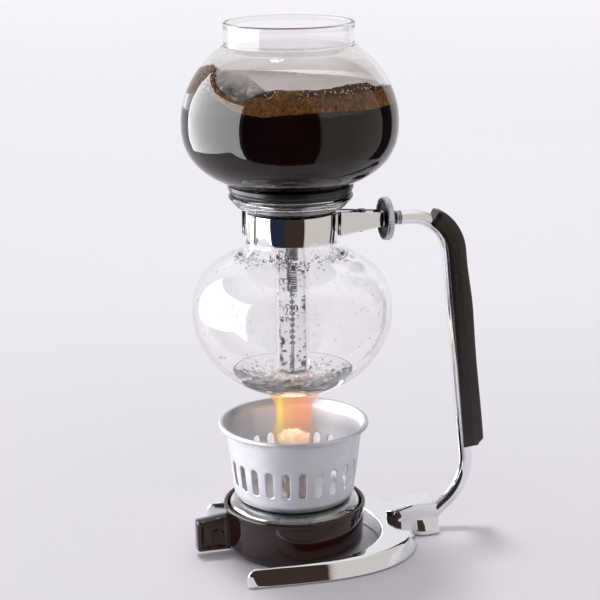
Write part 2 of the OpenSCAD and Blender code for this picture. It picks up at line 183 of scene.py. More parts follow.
def grid_faces(rows, columns, start=0, flip=False):
    """Quads between rows of points that run all the way round."""
    faces = []
    for i in range(rows - 1):
        for k in range(columns):
            a, b = start + i * columns, start + (i + 1) * columns
            l = (k + 1) % columns
            quad = (a + k, a + l, b + l, b + k)
            faces.append(quad[::-1] if flip else quad)
    return faces


def turn_outwards(piece):
    """Makes the normals of a closed mesh point outwards, whichever way its outline was drawn."""
    mesh = piece.data
    volume = 0.0
    mesh.calc_loop_triangles()
    for t in mesh.loop_triangles:
        a, b, c = (mesh.vertices[i].co for i in t.vertices)
        volume += a.dot(b.cross(c))
    if volume < 0:
        mesh.flip_normals()


def lathe(name, outline, segments=160, shift=None, sharp_deg=40):
    """Solid of revolution about Z of a closed outline of (radius, height) points.

    shift(radius, height, angle) may return another (radius, height) for a point, such as for waves.
    """
    points, rows = [], []
    for r, z in outline:
        if abs(r) < 1e-6:
            rows.append([len(points)] * segments)
            points.append((0.0, 0.0, z))
            continue
        row = []
        for k in range(segments):
            angle = TURN * k / segments
            rr, zz = shift(r, z, angle) if shift else (r, z)
            row.append(len(points))
            points.append((rr * math.cos(angle), rr * math.sin(angle), zz))
        rows.append(row)
    faces = []
    for i in range(len(rows)):
        a, b = rows[i], rows[(i + 1) % len(rows)]
        if a[0] == a[1] and b[0] == b[1]:
            continue
        for k in range(segments):
            l = (k + 1) % segments
            face = [a[k], a[l], b[l], b[k]]
            faces.append(tuple(dict.fromkeys(face)))
    piece = make_object(name, points, faces, sharp_deg)
    turn_outwards(piece)
    return piece


def weld(piece):
    """Merges points that lie together and turns every normal outwards."""
    work = bmesh.new()
    work.from_mesh(piece.data)
    bmesh.ops.remove_doubles(work, verts=work.verts, dist=0.002 * MM)
    bmesh.ops.recalc_face_normals(work, faces=work.faces)
    work.to_mesh(piece.data)
    work.free()
    piece.data.set_sharp_from_angle(angle=math.radians(50))


def join(pieces, name):
    """One object of several."""
    bpy.ops.object.select_all(action="DESELECT")
    for piece in pieces:
        piece.select_set(True)
    bpy.context.view_layer.objects.active = pieces[0]
    if len(pieces) > 1:
        bpy.ops.object.join()
    pieces[0].name = name
    pieces[0].data.name = name
    return pieces[0]


def tube(name, path, radius, sides=32, scale=None, caps=True):
    """Round bar along a path of (x, y, z) points; scale(i) multiplies the radius at point i."""
    path = [Vector(p) for p in path]
    rings = []
    side = None
    for i, p in enumerate(path):
        along = (path[min(i + 1, len(path) - 1)] - path[max(i - 1, 0)]).normalized()
        if side is None:
            side = along.cross(Vector((0.13, 1, 0.07))).normalized()
        side = (side - along * side.dot(along)).normalized()
        other = along.cross(side)
        r = radius * (scale(i) if scale else 1)
        turns = [TURN * k / sides for k in range(sides)]
        rings.append([p + side * r * math.cos(a) + other * r * math.sin(a) for a in turns])
    return loft(name, rings, caps=caps)


def ball(centre, radius, squash=1.0, rings=10, segments=20):
    """Points and faces of a small sphere, as an outline ring list for blobs()."""
    points = [(centre[0], centre[1], centre[2] - radius * squash)]
    for i in range(1, rings):
        a = -math.pi / 2 + math.pi * i / rings
        for k in range(segments):
            b = TURN * k / segments
            points.append(
                (
                    centre[0] + radius * math.cos(a) * math.cos(b),
                    centre[1] + radius * math.cos(a) * math.sin(b),
                    centre[2] + radius * squash * math.sin(a),
                )
            )
    points.append((centre[0], centre[1], centre[2] + radius * squash))
    faces = [(0, 1 + (k + 1) % segments, 1 + k) for k in range(segments)]
    for i in range(rings - 2):
        for k in range(segments):
            a, b = 1 + i * segments, 1 + (i + 1) * segments
            l = (k + 1) % segments
            faces.append((a + k, a + l, b + l, b + k))
    top, last = len(points) - 1, 1 + (rings - 2) * segments
    faces += [(top, last + k, last + (k + 1) % segments) for k in range(segments)]
    return points, faces


def blobs(name, balls):
    """One object of many small spheres, each (centre, radius, squash)."""
    points, faces = [], []
    for centre, radius, squash in balls:
        p, f = ball(centre, radius, squash, rings=8, segments=14)
        base = len(points)
        points += p
        faces += [tuple(i + base for i in face) for face in f]
    return make_object(name, points, faces, 180)


def put(piece, material, body, *nodes):
    """Gives a piece its material and its body, and hides the CAD nodes that it stands for."""
    piece.data.materials.append(material)
    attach(piece, body)
    if nodes:
        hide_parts(*nodes)


# ---------------------------------------------------------------- materials


class Surface:
    """A node material on one Principled shader, with its textures read in object space (metres)."""

    def __init__(self, name, colour, roughness=0.5, metallic=0.0, **sockets):
        self.material = bpy.data.materials.new(name)
        self.material.use_nodes = True
        self.tree = self.material.node_tree
        self.shader = self.tree.nodes["Principled BSDF"]
        self.set("Base Color", (*colour, 1.0))
        self.set("Roughness", roughness)
        self.set("Metallic", metallic)
        for socket, value in sockets.items():
            self.set(socket.replace("_", " "), value)
        self.height = None

    def set(self, socket, value):
        self.shader.inputs[socket].default_value = value

    def node(self, kind, **values):
        made = self.tree.nodes.new(kind)
        for key, value in values.items():
            setattr(made, key, value)
        return made

    def wire(self, source, target):
        self.tree.links.new(source, target)

    def place(self, stretch=(1, 1, 1)):
        """Object coordinates, stretched so that features grow along an axis with a small factor."""
        coordinates = self.node("ShaderNodeTexCoord")
        mapping = self.node("ShaderNodeMapping")
        mapping.inputs["Scale"].default_value = stretch
        self.wire(coordinates.outputs["Object"], mapping.inputs["Vector"])
        return mapping.outputs["Vector"]

    def noise(self, size_mm, detail=4.0, rough=0.55, stretch=(1, 1, 1), distort=0.0):
        """Noise whose features are about size_mm across."""
        texture = self.node("ShaderNodeTexNoise")
        texture.inputs["Scale"].default_value = 1000.0 / size_mm
        texture.inputs["Detail"].default_value = detail
        texture.inputs["Roughness"].default_value = rough
        texture.inputs["Distortion"].default_value = distort
        self.wire(self.place(stretch), texture.inputs["Vector"])
        return texture.outputs["Fac"]

    def cells(self, size_mm, feature="F1", stretch=(1, 1, 1)):
        texture = self.node("ShaderNodeTexVoronoi", feature=feature)
        texture.inputs["Scale"].default_value = 1000.0 / size_mm
        self.wire(self.place(stretch), texture.inputs["Vector"])
        return texture.outputs["Distance"]

    def along(self, axis, low, high, turn=0.0, top=1.0):
        """0 to `top` as the object coordinate on an axis, turned about Z, goes from low to high metres."""
        coordinates = self.node("ShaderNodeTexCoord")
        mapping = self.node("ShaderNodeMapping")
        mapping.inputs["Rotation"].default_value = (0, 0, turn)
        self.wire(coordinates.outputs["Object"], mapping.inputs["Vector"])
        split = self.node("ShaderNodeSeparateXYZ")
        self.wire(mapping.outputs["Vector"], split.inputs[0])
        share = self.node("ShaderNodeMapRange")
        share.inputs["From Min"].default_value = low
        share.inputs["From Max"].default_value = high
        share.inputs["To Max"].default_value = top
        self.wire(split.outputs[axis], share.inputs["Value"])
        return share.outputs["Result"]

    def product(self, a, b):
        made = self.node("ShaderNodeMath", operation="MULTIPLY")
        self.wire(a, made.inputs[0])
        self.wire(b, made.inputs[1])
        return made.outputs[0]

    def mix(self, a, b, share, blend_type="MIX"):
        """Two colours mixed by a constant or by a socket."""
        made = self.node("ShaderNodeMix", data_type="RGBA", blend_type=blend_type)
        if isinstance(share, float):
            made.inputs["Factor"].default_value = share
        else:
            self.wire(share, made.inputs["Factor"])
        self.wire(a, made.inputs["A"])
        self.wire(b, made.inputs["B"])
        return made.outputs["Result"]

    def ramp(self, factor, stops, interpolation="EASE"):
        """Colour ramp: stops are (position, value or colour)."""
        made = self.node("ShaderNodeValToRGB")
        made.color_ramp.interpolation = interpolation
        elements = made.color_ramp.elements
        for i, (position, value) in enumerate(stops):
            colour = value if isinstance(value, tuple) else (value, value, value)
            element = elements[i] if i < 2 else elements.new(position)
            element.position = position
            element.color = (*colour, 1.0)
        self.wire(factor, made.inputs["Fac"])
        return made.outputs["Color"]

    def vary(self, socket, factor, stops, interpolation="EASE"):
        self.wire(self.ramp(factor, stops, interpolation), self.shader.inputs[socket])
        return self

    def bump(self, height, depth_mm, strength=1.0):
        """Adds a bump whose full swing is depth_mm deep; bumps stack."""
        made = self.node("ShaderNodeBump")
        made.inputs["Strength"].default_value = strength
        made.inputs["Distance"].default_value = depth_mm * MM
        self.wire(height, made.inputs["Height"])
        if self.height:
            self.wire(self.height, made.inputs["Normal"])
        self.wire(made.outputs["Normal"], self.shader.inputs["Normal"])
        self.height = made.outputs["Normal"]
        return self


def glass(name, wave_mm=0.02, tint=(1.0, 1.0, 1.0), **sockets):
    made = Surface(name, tint, 0.0, Transmission_Weight=1.0, IOR=1.47, **sockets)
    made.bump(made.noise(26, 2.0), wave_mm)
    made.vary("Roughness", made.noise(14, 4.0), [(0.45, 0.0), (0.9, 0.03)])
    return made.material


def chrome(name, colour=(0.86, 0.87, 0.89), smudge=0.05, wave_mm=0.004):
    made = Surface(name, colour, 0.03, 1.0)
    made.vary("Roughness", made.noise(9, 5.0, 0.6, distort=0.4), [(0.42, 0.015), (0.75, 0.015 + smudge)])
    made.bump(made.noise(6, 2.0), wave_mm)
    return made.material


def turned_steel(name, colour=(0.62, 0.61, 0.6), roughness=0.22):
    made = Surface(name, colour, roughness, 1.0)
    made.vary("Roughness", made.noise(1.4, 3.0), [(0.3, roughness * 0.7), (0.8, roughness * 1.4)])
    made.bump(made.noise(0.5, 2.0, stretch=(4, 1, 1)), 0.006)
    return made.material


def moulded(name, colour, roughness, grain_mm, grain_depth, worn=None, **sockets):
    """Moulded plastic or rubber: a fine grain, a slow change in gloss and a slightly worn colour."""
    made = Surface(name, colour, roughness, 0.0, **sockets)
    worn = worn or tuple(min(1.0, c * 1.35 + 0.004) for c in colour)
    made.vary("Base Color", made.noise(12, 5.0), [(0.35, colour), (0.8, worn)])
    made.vary("Roughness", made.noise(5, 4.0), [(0.3, roughness * 0.85), (0.8, roughness * 1.25)])
    made.bump(made.noise(grain_mm, 3.0), grain_depth)
    return made.material


def satin_aluminium():
    made = Surface("shield_aluminium", (0.7, 0.72, 0.75), 0.45, 1.0)
    rings = made.noise(0.8, 3.0, stretch=(0.06, 0.06, 1.6))
    made.vary("Roughness", rings, [(0.3, 0.4), (0.7, 0.53)])
    made.vary("Base Color", made.noise(18, 4.0), [(0.3, (0.65, 0.67, 0.71)), (0.75, (0.73, 0.745, 0.77))])
    made.bump(rings, 0.012)
    made.bump(made.noise(0.35, 2.0), 0.004)
    return made.material


def holder_metal():
    made = Surface("holder_aluminium", (0.72, 0.7, 0.66), 0.3, 1.0)
    made.vary("Base Color", made.noise(7, 5.0), [(0.35, (0.52, 0.47, 0.41)), (0.7, (0.76, 0.74, 0.71))])
    made.bump(made.noise(0.7, 3.0, stretch=(0.1, 0.1, 1)), 0.01)
    return made.material


def burning_wick():
    """Cotton with a painted glow of flame light on its top."""
    colour = (0.86, 0.83, 0.78)
    made = Surface("wick_cotton", colour, 0.95, Sheen_Weight=0.35)
    fibres = made.noise(0.55, 5.0, 0.7, stretch=(1, 1, 0.25), distort=1.2)
    made.vary("Base Color", fibres, [(0.3, (0.62, 0.56, 0.48)), (0.62, colour)])
    made.bump(fibres, 0.12)
    # Painted light: the top of the cotton emits a warm glow in place of the flame's light on it.
    made.set("Emission Color", (1.0, 0.78, 0.7, 1.0))
    made.wire(made.along("Z", 0.0565, 0.0615, top=0.3), made.shader.inputs["Emission Strength"])
    return made.material


def flannel():
    made = Surface("filter_cloth", (0.72, 0.62, 0.5), 0.95, Sheen_Weight=0.5)
    weave = made.noise(0.5, 4.0, 0.7)
    made.vary("Base Color", made.noise(5, 5.0), [(0.3, (0.5, 0.36, 0.24)), (0.75, (0.78, 0.68, 0.55))])
    made.bump(weave, 0.15)
    return made.material


def coffee_liquid():
    made = Surface("coffee", (0.011, 0.0025, 0.0015), 0.5, Specular_IOR_Level=0.0)
    made.vary("Base Color", made.noise(20, 4.0), [(0.3, (0.007, 0.0012, 0.0008)), (0.8, (0.017, 0.004, 0.0022))])
    made.bump(made.noise(8, 3.0), 0.05)
    return made.material


def coffee_foam():
    """Golden-brown froth: painted shade in fine pits all over, and larger bubbles along its upper edge with painted
    highlights in their middles and painted shade between them.
    """
    made = Surface("coffee_foam", (0.3, 0.15, 0.06), 0.5, Specular_IOR_Level=0.2)
    tone = made.ramp(made.noise(5, 6.0, 0.75), [(0.3, (0.12, 0.04, 0.007)), (0.5, (0.27, 0.115, 0.027)),
                                                (0.72, (0.55, 0.30, 0.105))])
    # Painted shade: small spots darkened to a tenth, as the shade inside the froth's pits.
    pits = made.ramp(made.noise(0.9, 2.0, 0.5), [(0.36, 0.1), (0.47, 1.0)])
    fine = made.mix(tone, pits, 0.85, "MULTIPLY")
    # Painted highlight at each bubble's middle, fading through tan to painted shade in the gaps between bubbles.
    bubbles = made.ramp(made.cells(1.5), [(0.1, (1.0, 0.86, 0.7)), (0.26, (0.42, 0.2, 0.06)),
                                          (0.46, (0.05, 0.014, 0.003))])
    where = made.ramp(made.noise(13, 2.0), [(0.36, 0.1), (0.5, 1.0)])
    share = made.product(made.along("Z", 0.2468, 0.2492), where)
    made.wire(made.mix(fine, bubbles, share), made.shader.inputs["Base Color"])
    made.bump(made.cells(1.7), 0.3)
    return made.material


def froth_skin():
    """Wet, thin-walled bubbles: see-through and shiny."""
    made = Surface("froth_bubbles", (0.42, 0.24, 0.11), 0.12, Coat_Weight=0.6)
    made.vary("Base Color", made.noise(3, 3.0), [(0.35, (0.26, 0.11, 0.03)), (0.65, (0.6, 0.42, 0.25))])
    made.vary("Alpha", made.noise(2, 2.0), [(0.35, 0.5), (0.7, 0.8)])
    made.bump(made.noise(0.7, 2.0), 0.03)
    return made.material


def splash_material():
    """Crumpled grey film of wet bubbles, with painted highlights on its crests and painted shade in its folds."""
    made = Surface("splash", (0.5, 0.47, 0.46), 0.14)
    crumple = made.noise(5.5, 4.0, 0.6, distort=0.8)
    # Painted light: the crumple that bumps the film also colours it, light on crests and dark in folds; the lower
    # part takes the darker, stronger copy.
    low = made.ramp(crumple, [(0.32, (0.06, 0.05, 0.045)), (0.5, (0.26, 0.24, 0.225)), (0.66, (0.8, 0.78, 0.76))])
    high = made.ramp(crumple, [(0.3, (0.36, 0.28, 0.25)), (0.55, (0.6, 0.5, 0.45)), (0.75, (0.78, 0.7, 0.66))])
    made.wire(made.mix(low, high, made.along("Z", 0.2515, 0.2545)), made.shader.inputs["Base Color"])
    made.vary("Alpha", made.noise(6, 3.0), [(0.3, 0.7), (0.6, 0.93)])
    made.bump(crumple, 0.5)
    return made.material


def clear_water(name):
    made = Surface(name, (1.0, 1.0, 1.0), 0.0, Transmission_Weight=1.0, IOR=1.33)
    made.bump(made.noise(2.2, 3.0), 0.05)
    return made.material


# ---------------------------------------------------------------- upper bowl, gasket and filter

bowl_low, bowl_high = extent("upper_bowl")
BOWL_R = bowl_high.x
BOWL_MIDDLE = 229.8
RIM_Z = bowl_high.z
STEM_END_Z = bowl_low.z
STEM_R = 8.7
STEM_BORE_R = 7.2
NECK_R = 32.7
GLASS_T = 1.8
FLOOR_Z = 198.0


def bowl_inner_side():
    """The bulb's inner wall from the neck down to the floor."""
    upper = bulb(BOWL_R - GLASS_T, 46.2, 2, BOWL_MIDDLE, 33.2, 1)
    lower = bulb(BOWL_R - GLASS_T, 33.0, 2.4, BOWL_MIDDLE, 29.5, -1)
    return upper[::-1] + lower[1:]


def bowl_radius(z):
    """Inner radius of the bulb at a height."""
    if z >= BOWL_MIDDLE:
        return (BOWL_R - GLASS_T) * math.sqrt(max(0.0, 1 - ((z - BOWL_MIDDLE) / 46.2) ** 2))
    return (BOWL_R - GLASS_T) * max(0.0, 1 - ((BOWL_MIDDLE - z) / 33.0) ** 2.4) ** (1 / 2.4)


def make_upper_bowl(material):
    rim = arc((NECK_R - GLASS_T / 2 + 0.1, RIM_Z - 1.1), 1.05, -20, 200, 14)
    inner_neck = rounded([(NECK_R - GLASS_T, 276), (NECK_R - GLASS_T, 268.4, 2.5), (33.2, 265.8)], 6, closed=False)
    foot_inside = rounded(
        [(29.5, 198.6), (28.8, FLOOR_Z, 1), (12.6, FLOOR_Z, 2), (9.6, 195.4, 2), (STEM_BORE_R, 190.4, 3),
         (STEM_BORE_R, 110)], 5, closed=False)
    stem_end = arc((STEM_R - 0.75, STEM_END_Z + 0.75), 0.75, 180, 360, 8)
    foot_outside = rounded(
        [(STEM_R, 110), (STEM_R, 189.4, 3), (10.4, 193, 1.5), (12.6, 195.6, 1.5), (14.2, 196.2, 1),
         (29.8, 196.2, 0.5), (30.6, 197.2, 0.4), (30.7, 199.0, 0.8), (32.0, 200.2)], 5, closed=False)
    outside = bulb(BOWL_R, 34.8, 2.4, BOWL_MIDDLE, 32.8, -1)[::-1] + bulb(BOWL_R, 48, 2, BOWL_MIDDLE, 34.6, 1)[1:]
    outer_neck = rounded([(34.6, 266.9), (NECK_R + 0.25, 268.6, 1.2), (NECK_R, 270.2, 1), (NECK_R, 276)], 5, False)
    inside = inner_neck + bowl_inner_side()[1:] + foot_inside
    outline = rim + inside + stem_end + foot_outside + outside[1:] + outer_neck[1:]
    piece = lathe("glass_bowl", outline, 224)
    put(piece, material, "bowl", "upper_bowl")
    return piece


def make_gasket(material):
    """Black collar with a rounded lip round the bowl's foot, two ribs and a tapered plug."""
    outline = rounded(
        [(30.65, 198.6), (31.4, 198.7, 0.4), (32.05, 198.1, 0.5), (32.05, 196.2, 0.8), (31.3, 195.2, 0.5),
         (31.3, 194.6, 0.5), (30.7, 193.6, 0.8), (28.2, 192.0, 0.8), (27.6, 190.9, 0.4), (26.6, 190.6, 0.6),
         (24.2, 188.3, 1), (23.0, 186.8, 0.5), (21.6, 186.0, 0.8), (20.8, 184.2, 0.8), (20.75, 181, 0.5),
         (20.2, 175.9, 0.8), (19.4, 174.8, 0.6), (9.7, 174.8, 0.6), (8.78, 175.8, 0.3), (8.78, 188.9, 2),
         (9.7, 191.9, 1), (12.1, 194.9, 1), (14, 196.1), (29.7, 196.1, 0.3), (30.65, 197.1, 0.3)], 5)
    piece = lathe("gasket", outline, 160)
    put(piece, material, "bowl", "stem_gasket")


def make_filter(steel, cloth_material):
    """Cloth gathered round the filter plate, and the screw and plates that hold it."""

    def gathers(r, z, angle):
        pull = smoothstep(24.6, 8, r) if z < 199.5 else 0.0
        creases = fractal((20 * math.cos(angle), 20 * math.sin(angle), r), 9)
        wave = 0.22 * math.sin(26 * angle) * pull + 0.1 * creases
        return r, z + (wave if z < 199.5 else 0.5 * wave)

    outline = rounded(
        [(1.9, 200.1, 0), (23.2, 200.1, 0.4), (24.0, 199.6, 0.4), (24.0, 199.2, 0.3), (23.4, 198.9, 0.3),
         (6.9, 198.95, 0), (6.9, 198.35, 0), (23.9, 198.35, 0.5), (24.75, 199.0, 0.4), (24.75, 200.0, 0.4),
         (23.8, 200.65, 0.5), (1.9, 200.65, 0)], 4)
    cloth = lathe("filter_cloth_bag", outline, 240, gathers)
    put(cloth, cloth_material, "bowl", "filter_cloth")
    for node in ("filter_plate", "filter_retainer", "filter_screw"):
        dress(node, steel)


def make_spring(material):
    """Close-wound tapered wire spring that joins the filter screw to the chain."""
    low, high = extent("filter_spring")
    wire, turns, per_turn = 0.42, 44, 22
    bottom, top = low.z + 0.9, high.z - 0.7
    path = []
    for i in range(turns * per_turn + 1):
        t = i / (turns * per_turn)
        radius = (high.x - 0.45) - 0.75 * smoothstep(0.35, 1.0, t)
        angle = TURN * i / per_turn
        path.append((radius * math.cos(angle), radius * math.sin(angle), top + (bottom - top) * t))
    coil = tube("spring_coil", path, wire, sides=8)
    eye = [(0, 1.5 * math.sin(a), bottom - 0.6 + 1.2 * math.cos(a)) for a in np.linspace(-0.6, 3.6, 14)]
    piece = join([coil, tube("spring_eye", eye, wire, sides=8)], "spring_wire")
    piece.data.materials.append(material)
    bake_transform(piece)
    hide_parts("filter_spring")


def make_chain(material):
    """Beads on short links, and the wire hook that catches the stem's end."""
    low, high = extent("bead_chain")
    pitch, count = 3.2, 9
    beads = [((0, 0, 114 + pitch * i), 1.12, 1.0) for i in range(count)]
    links = tube("chain_links", [(0, 0, low.z + 0.1), (0, 0, high.z - 0.1)], 0.36, 12)
    chain = join([blobs("chain_beads", beads), links], "bead_chain_links")
    put(chain, material, "chain", "bead_chain")
    low, high = extent("chain_hook")
    wire = 0.7
    reach, base = high.x - wire, low.z + wire
    path = [(0, 0, high.z - 0.1), (0, 0, base + 3)]
    path += [(p[0], 0, p[1]) for p in arc((2.2, base + 2.2), 2.2, 180, 270, 8)]
    path += [(p[0], 0, p[1]) for p in arc((reach - 1.6, base + 1.6), 1.6, 270, 360, 8)]
    path += [(reach, 0, base + rise) for rise in (2.4, 3.1, 3.5)]
    hook = tube("hook_wire", path, wire, 16, scale=lambda i: 0.6 if i == len(path) - 1 else 1)
    put(hook, material, "chain", "chain_hook")


def dress(node, material):
    """Gives a CAD node that keeps its shape its finished material."""
    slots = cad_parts[node].data.materials
    for i in range(len(slots)):
        slots[i] = material
    if not slots:
        slots.append(material)


# ---------------------------------------------------------------- lower flask

flask_low, flask_high = extent("lower_flask")
FLASK_R = flask_high.x
FLASK_MIDDLE = 131.8
FLASK_BOTTOM = flask_low.z
FLASK_NECK_R = 23.0


def flask_radius(z):
    """Inner radius of the flask's bulb at a height."""
    if z >= FLASK_MIDDLE:
        return (FLASK_R - GLASS_T) * max(0.0, 1 - ((z - FLASK_MIDDLE) / 32.0) ** 2.35) ** (1 / 2.35)
    return (FLASK_R - GLASS_T) * math.sqrt(max(0.0, 1 - ((FLASK_MIDDLE - z) / 43.2) ** 2))


def make_flask(material):
    inside = bulb(FLASK_R - GLASS_T, 43.2, 2, FLASK_MIDDLE, 0.4, -1, 48)[::-1]
    inside = [(0, FLASK_BOTTOM + GLASS_T)] + inside + bulb(FLASK_R - GLASS_T, 32.0, 2.35, FLASK_MIDDLE, 27, 1)[1:]
    inner_neck = rounded(
        [(27, 161.4), (21.3, 164.9, 5), (21.2, 183.8, 2), (28.2, 190.9, 0.5), (29.1, 191.6)], 6, closed=False)
    lip = arc((30.45, 191.95), 1.4, 185, -60, 16)
    outer_neck = rounded(
        [(31.1, 190.5), (29.9, 189.9, 0.4), (29.9, 189.4, 0.4), (29.3, 188.7, 0.5), (28.2, 188.1, 0.4),
         (28.2, 187.4, 0.4), (27.2, 186.7, 0.5), (26.2, 186.2, 0.5), (23.1, 184.5, 1.2), (23, 175),
         (23.0, 167.4, 5), (27.4, 162.9)], 5, closed=False)
    outside = bulb(FLASK_R, 33.8, 2.35, FLASK_MIDDLE, 27.4, 1)[::-1]
    outside += bulb(FLASK_R, 45, 2, FLASK_MIDDLE, 0.4, -1, 48)[1:]
    outline = inside + inner_neck[1:] + lip + outer_neck + outside[1:] + [(0, FLASK_BOTTOM)]
    piece = lathe("glass_flask", outline, 224)
    put(piece, material, "stand", "lower_flask")


# ---------------------------------------------------------------- base, pipe and grip

base_low, base_high = extent("base_casting")
PLATE_TOP = 10.0
BASE_Z = base_low.z
BAY_R = 46.0


def plate_outer(angle):
    """Outer edge of the base plate at an angle from the handle side, drawn in beside the socket block."""
    c, s = math.cos(angle), math.sin(angle)
    x = 65 * abs(c) ** (2 / 2.4)
    y = 52 * abs(s) ** (2 / 2.4) * (1 if s > 0 else -1)
    return x - 5.5 * smoothstep(13.5, 8.0, abs(y)), y


def leg_stations(side, count=46):
    """Inner and outer edge points along one leg, from its tip to the start of the round bay."""
    tip = base_low.x
    stations = []
    for t in np.linspace(0, 1, count) ** 1.6:
        x = tip + t * (0 - tip)
        outer = 48.9 + 3.1 * smoothstep(tip - 20, 2, x)
        inner = BAY_R - 0.2 + 0.5 * smoothstep(-10, tip, x)
        stations.append(((x, side * inner), (x, side * outer)))
    return stations


def wishbone_section(inner, outer, taper):
    """Ring of points across the casting; taper below 1 draws in a leg's rounded tip."""
    inner, outer = np.array(inner), np.array(outer)
    middle = (inner + outer) / 2
    half = (outer - inner) / 2 * taper
    width = 2 * np.linalg.norm(half)
    top = BASE_Z + (PLATE_TOP - BASE_Z) * (0.35 + 0.65 * taper)
    lean = min(2.5, 0.5 * width)
    edge = min(2.2, 0.45 * (width - lean))
    face = [(width - lean * (1 - t), top + (BASE_Z + 0.5 - top) * t) for t in (0.38, 0.94)]
    profile = rounded(
        [(0, BASE_Z, 0.4), (min(0.6, 0.1 * width), top, 0.8 * edge), (width - lean, top, edge), *face,
         (width, BASE_Z + 0.5, 0.3), (width - 0.3, BASE_Z, 0.2)], 7)
    across = half / np.linalg.norm(half)
    start = middle - half
    return [(*(start + across * u), z) for u, z in profile]


def make_plate():
    """The wishbone: two legs that run on from the round bay."""
    rings = []
    stations = leg_stations(-1)
    for a in np.linspace(-90, 90, 121)[1:-1]:
        angle = math.radians(a)
        outer = plate_outer(angle)
        bearing = math.atan2(outer[1], outer[0])
        stations.append(((BAY_R * math.cos(bearing), BAY_R * math.sin(bearing)), outer))
    stations += leg_stations(1)[::-1]
    tip = base_low.x
    for inner, outer in stations:
        ahead = max(0.0, (inner[0] - tip) / 4.8)
        taper = math.sqrt(max(0.0, 1 - (1 - min(ahead, 1)) ** 2))
        rings.append(wishbone_section(inner, outer, max(taper, 0.08)))
    return loft("wishbone", rings, sharp_deg=55)


def make_socket_block():
    """Boss that the pipe runs into, from its rounded nose to the sloping end."""
    nose, end = 51.0, base_high.x
    rings = []
    for x in list(nose + 7 * (1 - np.cos(np.linspace(0.05, math.pi / 2, 14)))) + list(np.linspace(59, 76.6, 12)) \
            + list(np.linspace(77.1, end, 6)):
        round_nose = math.sqrt(max(0.0, 1 - (1 - min((x - nose) / 7, 1)) ** 2))
        half = 7.0 * round_nose
        top = 14.6 + 4.1 * smoothstep(nose - 4, 66, x) - 2.2 * (1 - round_nose)
        if x > 76.8:
            top -= 6.6 * (x - 76.8) / (end - 76.8)
            half -= 0.5 * (x - 76.8) / (end - 76.8)
        flare = 2.6 * smoothstep(64, 70, x) * smoothstep(end + 6, 74, x)
        edge = min(1.8, half * 0.6)
        corners = [(-half - flare, BASE_Z, 0.4), (-half - flare, BASE_Z + 2.2, 2), (-half, BASE_Z + 8.5, 4),
                   (-half, top - 0.4, edge), (-half * 0.55, top, 3)]
        corners += [(-u, z, radius) for u, z, radius in corners[::-1]]
        rings.append([(x, u, z) for u, z in rounded(corners, 5)])
    return loft("socket_block", rings, sharp_deg=50)


def make_base(material):
    piece = join([make_plate(), make_socket_block()], "chrome_base")
    put(piece, material, "stand", "base_casting")


PIPE_R = 3.8
PIPE_CORNERS = [(58.7, 176.2), (83.9, 176.2, 22), (98.2, 26.4, 30), (75.6, 7.4)]


def pipe_route(steps=26):
    """Points of the pipe's centreline in the XZ plane."""
    points = rounded(PIPE_CORNERS, steps, closed=False)
    full = [points[0]]
    for p in points[1:]:
        gap = math.dist(full[-1], p)
        for k in range(1, int(gap // 6) + 1):
            full.append(tuple(np.array(full[-1]) + (np.array(p) - full[-1]) * 6 / math.dist(full[-1], p)))
        full.append(p)
    clean = [full[0]]
    for p in full[1:]:
        if math.dist(clean[-1], p) > 0.2:
            clean.append(p)
    return clean


def make_pipe(material):
    piece = tube("chrome_pipe", [(x, 0, z) for x, z in pipe_route()], PIPE_R, 64)
    put(piece, material, "stand", "stand_pipe")


def make_grip(material):
    """Moulded grip snapped over the outside of the pipe, with two fine ridges along each side."""
    route = pipe_route()
    lengths = np.cumsum([0] + [math.dist(a, b) for a, b in zip(route, route[1:])])
    start, end = 17.0, 147.5
    rings = []
    for s in list(np.linspace(start, start + 5, 9)) + list(np.linspace(start + 6, end - 5, 110)) \
            + list(np.linspace(end - 4, end, 12)):
        x, z = (np.interp(s, lengths, [p[i] for p in route]) for i in (0, 1))
        ahead = [np.interp(s + 1.5, lengths, [p[i] for p in route]) for i in (0, 1)]
        behind = [np.interp(s - 1.5, lengths, [p[i] for p in route]) for i in (0, 1)]
        tx, tz = ahead[0] - behind[0], ahead[1] - behind[1]
        size = math.hypot(tx, tz)
        out = (-tz / size, tx / size)
        low_end = smoothstep(end, end - 3.5, s)
        top_end = smoothstep(start, start + 2.0, s)
        thick = 3.0 + 1.9 * smoothstep(start + 22, start + 55, s) + 1.4 * smoothstep(end - 60, end, s)
        thick += 2.6 * max(0.0, out[0]) * (z - 26.4) / 149.8
        back = (PIPE_R - 0.4 + thick) * (0.72 + 0.28 * low_end) * (0.9 + 0.1 * top_end)
        lip = -1.7 + 0.5 * (1 - top_end)
        half = 5.5 * (0.86 + 0.14 * min(low_end, top_end))
        corners = [(lip, -half + 0.3, 0.4)]
        for groove in (1.5, 3.1):
            corners += [(groove + u, -half + depth, 0.2)
                        for u, depth in ((-0.55, 0), (-0.2, 0.3), (0.2, 0.3), (0.5, 0))]
        corners.append((back, -half, 2.6))
        corners += [(u, -v, radius) for u, v, radius in corners[::-1]]
        rings.append([(x + out[0] * u, y, z + out[1] * u) for u, y in rounded(corners, 4)])
    piece = loft("brown_grip", rings, sharp_deg=60)
    put(piece, material, "stand", "handle_grip")


# ---------------------------------------------------------------- neck clamp

HINGE_X = 37.5
JAW_T = 0.9
JAW_Z = (169.7, 184.2)
WHEEL_Z = 176.2


def jaw_line():
    """Middle line of the back jaw's strip, seen from above: outward lip, neck, waist at the hinge, tab."""
    radius = FLASK_NECK_R + 0.4 + JAW_T / 2
    points = [(-22.9, 11.75), (-22.4, 11.5), (-21.9, 11.35), (-21.4, 11.28)]
    points += arc((0, 0), radius, 151, 24, 72)
    points += rounded([(22.6, 8.2), (24.6, 5.5, 3), (48, 4.35)], 6, closed=False)
    return points


